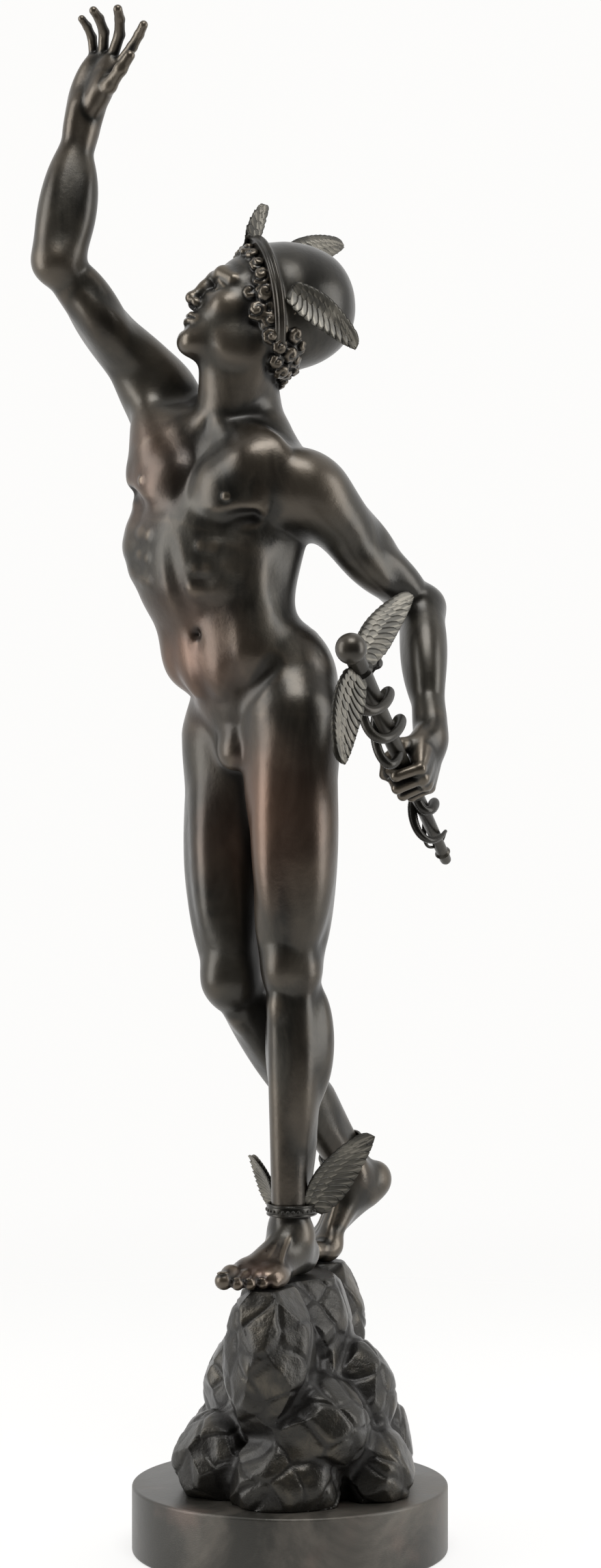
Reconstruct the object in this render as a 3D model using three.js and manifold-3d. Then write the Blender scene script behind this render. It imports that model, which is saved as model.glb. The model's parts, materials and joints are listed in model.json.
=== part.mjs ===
// A bronze of the winged messenger, stepping onto a rocky mound with one arm raised.
// The figure is modelled as a clay of tapers and swells, skinned and thinned to facets.
// Lengths are millimetres. The figure's own proportions are shares of its stature.
import * as THREE from "three";
import { mergeVertices } from "three/addons/utils/BufferGeometryUtils.js";
import Module from "manifold-3d";

const wasm = await Module();
wasm.setup();

// Driving sizes, in millimetres.
const stature = 600;
const plinthHeight = 38;
const plinthMargin = 9;
const plinthBevel = 1.6;
const moundHeight = 118;
const moundRadius = 81;
const seatGap = 0.3;
const rodTopDiameter = 11;
const rodTailDiameter = 6.4;
const rodAboveGrip = 110;
const rodBelowGrip = 82;
const ballDiameter = 17;
const snakeDiameter = 5.2;
const coilRadius = 15.5;
const coilPitch = 48;
const staffWingLength = 58;
const wingThickness = 3.2;

// Vectors in shares of the stature, and a body frame whose side axis points to the figure's right.
// A frame's unit makes what is modelled in it larger or smaller.
const at = (x, y, z) => new THREE.Vector3(x, y, z);
const radians = THREE.MathUtils.degToRad;

class Frame {
  constructor(origin, up, front, unit = 1) {
    this.unit = unit;
    this.origin = origin.clone();
    this.up = up.clone().normalize();
    this.side = front.clone().cross(this.up).normalize();
    this.front = this.up.clone().cross(this.side);
  }
  at(x, y, z) {
    return this.origin
      .clone()
      .addScaledVector(this.side, x * this.unit)
      .addScaledVector(this.front, y * this.unit)
      .addScaledVector(this.up, z * this.unit);
  }
}

// The way a body part faces: turned by so many degrees from the viewer towards the figure's right.
function facing(degrees, rise = 0) {
  const turn = radians(degrees);
  return at(-Math.sin(turn), -Math.cos(turn), rise);
}

function limbFrame(lower, upper, front) {
  const frame = new Frame(lower, upper.clone().sub(lower), front);
  frame.length = lower.distanceTo(upper);
  return frame;
}

// One lump of clay. It says how far a point is from its skin, below zero inside.
function taper(from, to, radiusFrom, radiusTo, blend = 0.01) {
  const way = to.clone().sub(from);
  const lengthSquared = way.lengthSq();
  const centre = from.clone().lerp(to, 0.5);
  const reach = Math.sqrt(lengthSquared) / 2 + Math.max(radiusFrom, radiusTo);
  const distance = (x, y, z) => {
    const dx = x - from.x;
    const dy = y - from.y;
    const dz = z - from.z;
    const along = (dx * way.x + dy * way.y + dz * way.z) / lengthSquared;
    const t = Math.min(1, Math.max(0, along));
    const radius = radiusFrom + (radiusTo - radiusFrom) * t;
    const [ox, oy, oz] = [dx - way.x * t, dy - way.y * t, dz - way.z * t];
    return Math.sqrt(ox * ox + oy * oy + oz * oz) - radius;
  };
  return { distance, centre, reach, blend };
}

function swell(frame, [x, y, z], radii, blend = 0.01) {
  const centre = frame.at(x, y, z);
  const [rx, ry, rz] = radii.map((r) => r * frame.unit);
  const { side, front, up } = frame;
  const least = Math.min(rx, ry, rz);
  const distance = (px, py, pz) => {
    const dx = px - centre.x;
    const dy = py - centre.y;
    const dz = pz - centre.z;
    const u = (dx * side.x + dy * side.y + dz * side.z) / rx;
    const v = (dx * front.x + dy * front.y + dz * front.z) / ry;
    const w = (dx * up.x + dy * up.y + dz * up.z) / rz;
    const k0 = Math.sqrt(u * u + v * v + w * w);
    const k1 = Math.sqrt((u / rx) ** 2 + (v / ry) ** 2 + (w / rz) ** 2);
    return k1 < 1e-9 ? -least : (k0 * (k0 - 1)) / k1;
  };
  return { distance, centre, reach: Math.max(rx, ry, rz), blend };
}

const carved = (lump) => ({ ...lump, carves: true });
const furrow = (...sizes) => carved(taper(...sizes));

// Smooth union of two distances. A cut is the same thing turned inside out.
function merged(a, b, blend) {
  const h = Math.max(blend - Math.abs(a - b), 0) / blend;
  return Math.min(a, b) - (h * h * blend) / 4;
}

// The skin lies this far out of the clay, for what the facets cut off.
const skinLift = 0.0006;

function distanceToClay(lumps, x, y, z) {
  let d = 1;
  for (const lump of lumps) {
    const s = lump.distance(x, y, z);
    d = lump.carves ? -merged(-d, s, lump.blend) : merged(d, s, lump.blend);
  }
  return d - skinLift;
}

// A cube of the grid is six tetrahedra. Corner c of a cube lies at its bits along x, y and z.
const TETRAHEDRA = [
  [0, 1, 3, 7],
  [0, 3, 2, 7],
  [0, 2, 6, 7],
  [0, 6, 4, 7],
  [0, 4, 5, 7],
  [0, 5, 1, 7],
];

// For each set of corners inside the clay, the ring of cut edges of the skin, facing out.
const RINGS = Array.from({ length: 16 }, (_, mask) => {
  const ins = [0, 1, 2, 3].filter((c) => mask & (1 << c));
  const outs = [0, 1, 2, 3].filter((c) => !(mask & (1 << c)));
  if (!ins.length || !outs.length) return [];
  const ring = ins.length === 2
    ? [[0, 0], [0, 1], [1, 1], [1, 0]].map(([i, o]) => [ins[i], outs[o]])
    : ins.flatMap((i) => outs.map((o) => [i, o]));
  const order = [...ins, ...outs];
  const swaps = order.flatMap((a, i) => order.slice(i + 1).filter((b) => b < a)).length;
  return swaps % 2 ? ring.reverse() : ring;
});

const BLOCK = 8;
const SIDE = BLOCK + 1;

// Skins the clay with triangles. Blocks of cubes that are far from the skin are passed over.
function skin(lumps, cell) {
  const low = at(9, 9, 9);
  const high = at(-9, -9, -9);
  for (const lump of lumps.filter((l) => !l.carves)) {
    const margin = lump.reach + lump.blend + cell;
    low.min(lump.centre.clone().subScalar(margin));
    high.max(lump.centre.clone().addScalar(margin));
  }
  const blocks = high.clone().sub(low).divideScalar(cell * BLOCK).ceil();
  const row = blocks.x * BLOCK + 1;
  const layer = row * (blocks.y * BLOCK + 1);
  const positions = [];
  const triangles = [];
  const onEdge = new Map();
  const values = new Float64Array(SIDE ** 3);

  function skinBlock(bx, by, bz) {
    const start = [bx * BLOCK, by * BLOCK, bz * BLOCK];
    const half = (BLOCK * cell) / 2;
    const middle = start.map((s, i) => low.getComponent(i) + s * cell + half);
    const room = half * Math.sqrt(3);
    const near = lumps.filter(({ centre, reach, blend }) => {
      const away = Math.hypot(centre.x - middle[0], centre.y - middle[1], centre.z - middle[2]);
      return away - reach < room + blend + 2 * cell;
    });
    if (!near.length) return;
    if (Math.abs(distanceToClay(near, ...middle)) > 2.2 * room + cell) return;
    for (let k = 0, n = 0; k < SIDE; k++)
      for (let j = 0; j < SIDE; j++)
        for (let i = 0; i < SIDE; i++, n++) {
          const x = low.x + (start[0] + i) * cell;
          const y = low.y + (start[1] + j) * cell;
          const z = low.z + (start[2] + k) * cell;
          values[n] = distanceToClay(near, x, y, z) || 1e-9;
        }
    for (let k = 0; k < BLOCK; k++)
      for (let j = 0; j < BLOCK; j++)
        for (let i = 0; i < BLOCK; i++) skinCube(i, j, k, start);
  }

  function skinCube(i, j, k, start) {
    const valueAt = (c) => values[((k + (c >> 2)) * SIDE + j + ((c >> 1) & 1)) * SIDE + i + (c & 1)];
    let inside = 0;
    for (let c = 0; c < 8; c++) if (valueAt(c) < 0) inside |= 1 << c;
    if (inside === 0 || inside === 255) return;
    const origin = [start[0] + i, start[1] + j, start[2] + k];
    for (const corners of TETRAHEDRA) {
      let mask = 0;
      for (let n = 0; n < 4; n++) if (inside & (1 << corners[n])) mask |= 1 << n;
      const ring = RINGS[mask].map(([a, b]) => {
        const [p, q] = [Math.min(corners[a], corners[b]), Math.max(corners[a], corners[b])];
        return cutEdge(origin, p, q, valueAt(p), valueAt(q));
      });
      if (ring.length) triangles.push(ring[0], ring[1], ring[2]);
      if (ring.length === 4) triangles.push(ring[0], ring[2], ring[3]);
    }
  }

  function cutEdge([x, y, z], p, q, valueP, valueQ) {
    const from = [x + (p & 1), y + ((p >> 1) & 1), z + (p >> 2)];
    const kind = p ^ q;
    const key = (from[0] + from[1] * row + from[2] * layer) * 8 + kind;
    let found = onEdge.get(key);
    if (found === undefined) {
      found = positions.length / 3;
      const t = Math.min(0.95, Math.max(0.05, valueP / (valueP - valueQ)));
      positions.push(
        low.x + (from[0] + (kind & 1) * t) * cell,
        low.y + (from[1] + ((kind >> 1) & 1) * t) * cell,
        low.z + (from[2] + (kind >> 2) * t) * cell,
      );
      onEdge.set(key, found);
    }
    return found;
  }

  for (let bz = 0; bz < blocks.z; bz++)
    for (let by = 0; by < blocks.y; by++)
      for (let bx = 0; bx < blocks.x; bx++) skinBlock(bx, by, bz);
  return { positions, triangles };
}

// Thins a closed skin: the ends of one edge after another are joined, the flattest places first.
function thinned({ positions, triangles }, target) {
  const point = Float64Array.from(positions);
  const face = Int32Array.from(triangles);
  const total = point.length / 3;
  const around = Array.from({ length: total }, () => []);
  const quadric = new Float64Array(10 * total);
  const version = new Int32Array(total);
  const dead = new Uint8Array(face.length / 3);
  const normal = new Float64Array(4);
  const best = new Float64Array(4);
  let faces = dead.length;

  // The unit normal of a triangle and twice its area, or zeros for a sliver.
  function measure(ax, ay, az, b, c) {
    const ux = point[3 * b] - ax;
    const uy = point[3 * b + 1] - ay;
    const uz = point[3 * b + 2] - az;
    const vx = point[3 * c] - ax;
    const vy = point[3 * c + 1] - ay;
    const vz = point[3 * c + 2] - az;
    const nx = uy * vz - uz * vy;
    const ny = uz * vx - ux * vz;
    const nz = ux * vy - uy * vx;
    const area = Math.sqrt(nx * nx + ny * ny + nz * nz);
    const longest = Math.max(ux * ux + uy * uy + uz * uz, vx * vx + vy * vy + vz * vz);
    const scale = area < 0.02 * longest ? 0 : 1 / area;
    normal[0] = nx * scale;
    normal[1] = ny * scale;
    normal[2] = nz * scale;
    normal[3] = area;
    return scale > 0;
  }

  function addPlane(v, ax, ay, az) {
    const [a, b, c, weight] = normal;
    const d = -(a * ax + b * ay + c * az);
    const q = 10 * v;
    quadric[q] += a * a * weight;
    quadric[q + 1] += a * b * weight;
    quadric[q + 2] += a * c * weight;
    quadric[q + 3] += a * d * weight;
    quadric[q + 4] += b * b * weight;
    quadric[q + 5] += b * c * weight;
    quadric[q + 6] += b * d * weight;
    quadric[q + 7] += c * c * weight;
    quadric[q + 8] += c * d * weight;
    quadric[q + 9] += d * d * weight;
  }

  // The place with the least error for the joined ends: the solved one, or their middle or ends.
  function findBest(a, b) {
    const q = (i) => quadric[10 * a + i] + quadric[10 * b + i];
    const [xx, xy, xz, xd, yy, yz, yd, zz, zd, dd] = Array.from({ length: 10 }, (_, i) => q(i));
    const error = (x, y, z) =>
      x * (xx * x + 2 * (xy * y + xz * z + xd)) + y * (yy * y + 2 * (yz * z + yd)) +
      z * (zz * z + 2 * zd) + dd;
    const [ax, ay, az] = [point[3 * a], point[3 * a + 1], point[3 * a + 2]];
    const [bx, by, bz] = [point[3 * b], point[3 * b + 1], point[3 * b + 2]];
    const [mx, my, mz] = [(ax + bx) / 2, (ay + by) / 2, (az + bz) / 2];
    const spanSquared = (ax - bx) ** 2 + (ay - by) ** 2 + (az - bz) ** 2;
    best[3] = Infinity;
    const consider = (x, y, z) => {
      const e = Math.max(error(x, y, z), 0);
      if (e >= best[3]) return;
      best[0] = x;
      best[1] = y;
      best[2] = z;
      best[3] = e;
    };
    const c00 = yy * zz - yz * yz;
    const c01 = xz * yz - xy * zz;
    const c02 = xy * yz - xz * yy;
    const determinant = xx * c00 + xy * c01 + xz * c02;
    if (Math.abs(determinant) > 1e-3 * (xx + yy + zz) ** 3) {
      const c11 = xx * zz - xz * xz;
      const c12 = xy * xz - xx * yz;
      const c22 = xx * yy - xy * xy;
      const x = -(c00 * xd + c01 * yd + c02 * zd) / determinant;
      const y = -(c01 * xd + c11 * yd + c12 * zd) / determinant;
      const z = -(c02 * xd + c12 * yd + c22 * zd) / determinant;
      if ((x - mx) ** 2 + (y - my) ** 2 + (z - mz) ** 2 < 2 * spanSquared) consider(x, y, z);
    }
    if (best[3] === Infinity) {
      consider(mx, my, mz);
      consider(ax, ay, az);
      consider(bx, by, bz);
    }
    best[3] += 1e-9 * spanSquared ** 2;
  }

  const heap = [];
  function offer(a, b) {
    findBest(a, b);
    const [x, y, z, cost] = best;
    pushHeap(heap, { cost, x, y, z, a, b, seen: version[a] + version[b] });
  }
  function neighbours(v) {
    const ring = [];
    for (const f of around[v])
      for (let e = 0; e < 3; e++) {
        const w = face[3 * f + e];
        if (w !== v && !ring.includes(w)) ring.push(w);
      }
    return ring;
  }
  // A face that would turn over, or grow long and thin, stops the join.
  function turnsOver(v, other, x, y, z) {
    for (const f of around[v]) {
      const [i, j, k] = [face[3 * f], face[3 * f + 1], face[3 * f + 2]];
      if (i === other || j === other || k === other) continue;
      const [b, c] = i === v ? [j, k] : j === v ? [k, i] : [i, j];
      const was = measure(point[3 * v], point[3 * v + 1], point[3 * v + 2], b, c);
      const [nx, ny, nz] = normal;
      if (!measure(x, y, z, b, c)) return true;
      if (was && nx * normal[0] + ny * normal[1] + nz * normal[2] < 0.3) return true;
    }
    return false;
  }

  for (let f = 0; f < faces; f++) {
    const [a, b, c] = [face[3 * f], face[3 * f + 1], face[3 * f + 2]];
    const [x, y, z] = [point[3 * a], point[3 * a + 1], point[3 * a + 2]];
    const sound = measure(x, y, z, b, c);
    for (const v of [a, b, c]) {
      around[v].push(f);
      if (sound) addPlane(v, x, y, z);
    }
  }
  for (let f = 0; f < faces; f++)
    for (let e = 0; e < 3; e++) {
      const [a, b] = [face[3 * f + e], face[3 * f + ((e + 1) % 3)]];
      if (a < b) offer(a, b);
    }

  while (faces > target && heap.length) {
    const { a, b, x, y, z, seen } = popHeap(heap);
    if (!around[a].length || !around[b].length) continue;
    if (version[a] + version[b] !== seen) continue;
    const ring = neighbours(a);
    if (!ring.includes(b)) continue;
    if (neighbours(b).filter((v) => ring.includes(v)).length !== 2) continue;
    if (turnsOver(a, b, x, y, z) || turnsOver(b, a, x, y, z)) continue;
    point.set([x, y, z], 3 * a);
    for (let i = 0; i < 10; i++) quadric[10 * a + i] += quadric[10 * b + i];
    for (const f of around[b]) {
      const corners = face.subarray(3 * f, 3 * f + 3);
      if (corners.includes(a)) {
        dead[f] = 1;
        faces--;
        for (const v of corners) if (v !== b) around[v].splice(around[v].indexOf(f), 1);
      } else {
        corners[corners.indexOf(b)] = a;
        around[a].push(f);
      }
    }
    around[b] = [];
    version[a]++;
    for (const v of neighbours(a)) offer(Math.min(a, v), Math.max(a, v));
  }
  const kept = [];
  dead.forEach((gone, f) => {
    if (!gone) kept.push(face[3 * f], face[3 * f + 1], face[3 * f + 2]);
  });
  return { positions: point, triangles: kept };
}

function pushHeap(heap, item) {
  let i = heap.push(item) - 1;
  while (i > 0) {
    const parent = (i - 1) >> 1;
    if (heap[parent].cost <= item.cost) break;
    heap[i] = heap[parent];
    i = parent;
  }
  heap[i] = item;
}

function popHeap(heap) {
  const top = heap[0];
  const last = heap.pop();
  if (!heap.length) return top;
  let i = 0;
  for (;;) {
    const left = 2 * i + 1;
    if (left >= heap.length) break;
    const right = left + 1;
    const child = right < heap.length && heap[right].cost < heap[left].cost ? right : left;
    if (last.cost <= heap[child].cost) break;
    heap[i] = heap[child];
    i = child;
  }
  heap[i] = last;
  return top;
}

// Turns clay in shares of the stature into a closed solid in millimetres.
function solidOfClay(lumps, cellMm, target) {
  const mesh = thinned(skin(lumps, cellMm / stature), target);
  const geometry = new THREE.BufferGeometry()
    .setAttribute("position", new THREE.BufferAttribute(new Float32Array(mesh.positions), 3))
    .setIndex(mesh.triangles);
  geometry.scale(stature, stature, stature);
  return solidOf(geometry);
}

function solidOf(geometry) {
  const bare = geometry.clone();
  bare.deleteAttribute("normal");
  bare.deleteAttribute("uv");
  const merge = mergeVertices(bare, 1e-4);
  return new wasm.Manifold(
    new wasm.Mesh({
      numProp: 3,
      vertProperties: merge.attributes.position.array,
      triVerts: new Uint32Array(merge.index.array),
    }),
  );
}

function geometryOf(solid) {
  const mesh = solid.getMesh();
  const geometry = new THREE.BufferGeometry()
    .setAttribute("position", new THREE.BufferAttribute(new Float32Array(mesh.vertProperties), 3))
    .setIndex(new THREE.BufferAttribute(mesh.triVerts, 1));
  geometry.computeVertexNormals();
  return geometry;
}

const joined = (solids) => solids.reduce((all, one) => all.add(one));

// A closed solid through a row of rings that hold the same number of points, with flat ends.
function lofted(rings) {
  const count = rings[0].length;
  const middle = (ring) => ring.reduce((sum, p) => sum.add(p), at(0, 0, 0)).divideScalar(count);
  const points = [...rings.flat(), middle(rings[0]), middle(rings.at(-1))];
  const index = [];
  const first = rings.length * count;
  const lastRing = first - count;
  for (let i = 0; i < count; i++) {
    const j = (i + 1) % count;
    index.push(first, j, i, first + 1, lastRing + i, lastRing + j);
    for (let r = 0; r < lastRing; r += count)
      index.push(r + i, r + j, r + count + j, r + i, r + count + j, r + count + i);
  }
  let volume = 0;
  for (let i = 0; i < index.length; i += 3) {
    const [a, b, c] = index.slice(i, i + 3).map((n) => points[n]);
    volume += a.dot(b.clone().cross(c));
  }
  if (volume < 0) index.reverse();
  const geometry = new THREE.BufferGeometry().setFromPoints(points).setIndex(index);
  return solidOf(geometry);
}

// The pose: joints in shares of the stature, the ground under the feet at zero.
const pelvis = new Frame(at(-0.029, 0.01, 0.53), at(-0.2, 0.06, 1), facing(50));
const waist = new Frame(at(-0.058, 0.004, 0.62), at(-0.06, 0.01, 1), facing(42));
const chest = new Frame(at(-0.079, -0.002, 0.712), at(0.26, 0.02, 1), facing(34));
const head = new Frame(at(-0.035, -0.02, 0.908), at(0.54, 0.24, 1), facing(73), 1.08);

// The joint between two bones of known lengths that meet on the side that the limb bends to.
function hinge(from, to, boneFrom, boneTo, towards) {
  const way = to.clone().sub(from);
  const span = way.length();
  way.divideScalar(span);
  const along = (span * span + boneFrom * boneFrom - boneTo * boneTo) / (2 * span);
  const off = Math.sqrt(Math.max(boneFrom * boneFrom - along * along, 0));
  const bend = towards.clone().addScaledVector(way, -towards.dot(way)).normalize();
  return from.clone().addScaledVector(way, along).addScaledVector(bend, off);
}

const thighLength = 0.236;
const shinLength = 0.248;
const upperArmLength = 0.178;
const forearmLength = 0.149;

const pose = {
  right: {
    side: 1,
    hip: pelvis.at(0.048, 0, -0.008),
    ankle: at(0.061, 0.118, 0.083),
    kneeFront: facing(46, 0.2),
    toesOut: facing(52),
    ball: at(0.029, 0.092, 0.013),
    shoulder: chest.at(0.09, -0.008, 0.104),
    wrist: at(-0.195, 0.004, 1.108),
    elbowOut: at(-0.8, -0.5, -0.3),
    upperFront: at(-0.1, -1, 0.2),
    lowerFront: at(0.3, -1, 0),
  },
  left: {
    side: -1,
    hip: pelvis.at(-0.048, 0, -0.008),
    ankle: at(0, -0.016, 0.04),
    kneeFront: facing(36),
    toesOut: facing(28),
    ball: at(-0.03, -0.076, 0.013),
    shoulder: chest.at(-0.089, -0.004, 0.051),
    wrist: at(0.132, -0.05, 0.508),
    elbowOut: at(0.6, 0.85, 0.1),
    upperFront: at(-0.45, -0.9, -0.2),
    lowerFront: at(-0.9, -0.5, 0),
  },
};
for (const limb of [pose.left, pose.right]) {
  limb.knee = hinge(limb.hip, limb.ankle, thighLength, shinLength, limb.kneeFront);
  limb.elbow = hinge(limb.shoulder, limb.wrist, upperArmLength, forearmLength, limb.elbowOut);
}

function legClay({ side, hip, knee, ankle, ball, kneeFront, toesOut }) {
  const thigh = limbFrame(knee, hip, kneeFront);
  const shin = limbFrame(ankle, knee, kneeFront);
  const T = thigh.length;
  const S = shin.length;
  const out = side;
  return [
    // Thigh: the four heads in front, two cords behind, the inner mass and the hip.
    taper(knee, hip, 0.0252, 0.046),
    swell(thigh, [out * -0.001, 0.0165, T * 0.57], [0.0275, 0.0285, 0.112], 0.011),
    swell(thigh, [out * 0.0235, 0.003, T * 0.54], [0.0225, 0.03, 0.102], 0.011),
    swell(thigh, [out * 0.0155, 0.0105, T * 0.25], [0.0138, 0.0148, 0.046], 0.012),
    swell(thigh, [out * -0.015, 0.0095, T * 0.2], [0.0152, 0.0168, 0.043], 0.012),
    swell(thigh, [out * 0.0128, -0.02, T * 0.46], [0.0195, 0.0205, 0.105], 0.01),
    swell(thigh, [out * -0.0125, -0.0185, T * 0.48], [0.018, 0.021, 0.105], 0.009),
    swell(thigh, [out * -0.02, -0.001, T * 0.8], [0.0265, 0.035, 0.08], 0.012),
    swell(thigh, [out * 0.012, 0, T * 0.92], [0.028, 0.036, 0.05], 0.014),
    // Knee, with its hollow behind.
    swell(thigh, [0, 0.0176, 0.004], [0.0136, 0.0106, 0.017], 0.012),
    swell(thigh, [0, -0.001, -0.001], [0.0258, 0.0216, 0.029], 0.016),
    carved(swell(thigh, [0, -0.038, -0.002], [0.012, 0.013, 0.03], 0.014)),
    // Shin and calf.
    taper(ankle, knee, 0.0155, 0.0222),
    taper(shin.at(0, 0.007, S * 0.1), shin.at(out * -0.002, 0.0105, S * 0.86), 0.0098, 0.0138),
    swell(shin, [0, 0.0155, S * 0.86], [0.0085, 0.0085, 0.015], 0.008),
    swell(shin, [out * -0.0125, -0.018, S * 0.69], [0.0205, 0.0225, 0.062], 0.009),
    swell(shin, [out * 0.013, -0.017, S * 0.72], [0.02, 0.021, 0.057], 0.009),
    swell(shin, [0, -0.0115, S * 0.5], [0.0205, 0.018, 0.082], 0.01),
    swell(shin, [out * 0.0145, 0.003, S * 0.66], [0.0135, 0.0165, 0.078], 0.01),
    swell(shin, [out * -0.0155, -0.006, S * 0.72], [0.0125, 0.016, 0.05], 0.01),
    taper(shin.at(0, -0.0185, S * 0.02), shin.at(0, -0.018, S * 0.34), 0.0068, 0.01, 0.012),
    swell(shin, [out * 0.0135, -0.002, 0.001], [0.0078, 0.0095, 0.0125], 0.01),
    swell(shin, [out * -0.0125, 0.001, 0.006], [0.0078, 0.0095, 0.0125], 0.01),
    ...footClay(side, ankle, ball, toesOut),
  ];
}

function footClay(side, ankle, ball, toesOut) {
  // The foot's frame lies along the sole, from the ball up and back to the ankle.
  const rise = ankle.z - ball.z;
  const run = Math.hypot(ankle.x - ball.x, ankle.y - ball.y);
  const heelLift = Math.atan2(rise, run) - Math.atan2(0.027, 0.066);
  const forward = toesOut.clone().multiplyScalar(Math.cos(heelLift)).setZ(-Math.sin(heelLift));
  const up = toesOut.clone().multiplyScalar(Math.sin(heelLift)).setZ(Math.cos(heelLift));
  const foot = new Frame(ball, up, forward);
  const toes = new Frame(ball, at(0, 0, 1), toesOut);
  const out = side;
  const lumps = [
    // Heel, instep, outer edge and the pads under the toes.
    swell(foot, [out * -0.001, -0.088, 0.007], [0.0165, 0.021, 0.0195], 0.012),
    swell(foot, [0, -0.066, 0.024], [0.0165, 0.0215, 0.0185], 0.016),
    taper(foot.at(0, -0.064, 0.02), foot.at(out * -0.008, -0.006, 0.002), 0.0165, 0.0112, 0.012),
    taper(foot.at(out * 0.001, -0.07, 0.004), foot.at(out * 0.013, -0.008, -0.003), 0.0145, 0.0092, 0.012),
    swell(foot, [out * -0.014, 0, -0.001], [0.0115, 0.016, 0.0115], 0.01),
    swell(foot, [out * 0.003, -0.002, -0.002], [0.018, 0.017, 0.0105], 0.01),
    swell(foot, [out * 0.016, -0.006, -0.004], [0.0095, 0.018, 0.0085], 0.01),
    carved(swell(foot, [out * -0.02, -0.042, -0.014], [0.012, 0.026, 0.011], 0.01)),
  ];
  const toeAcross = [-0.0165, -0.0042, 0.005, 0.0132, 0.0202];
  const toeLength = [0.034, 0.034, 0.031, 0.026, 0.02];
  const toeRadius = [0.0088, 0.0062, 0.0058, 0.0055, 0.0052];
  toeAcross.forEach((across, i) => {
    const root = toes.at(out * across * 0.92, 0.004 - 0.01 * (i > 2), -0.002);
    const knuckle = toes.at(out * across, toeLength[i] * 0.6 - 0.004 * i, toeRadius[i] * 0.7 - 0.0065);
    const tip = toes.at(out * across, toeLength[i] - 0.004 * i, toeRadius[i] - 0.0128);
    lumps.push(taper(root, knuckle, toeRadius[i] * 1.1, toeRadius[i], 0.003));
    lumps.push(taper(knuckle, tip, toeRadius[i], toeRadius[i] * 0.95, 0.003));
  });
  return lumps;
}

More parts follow.
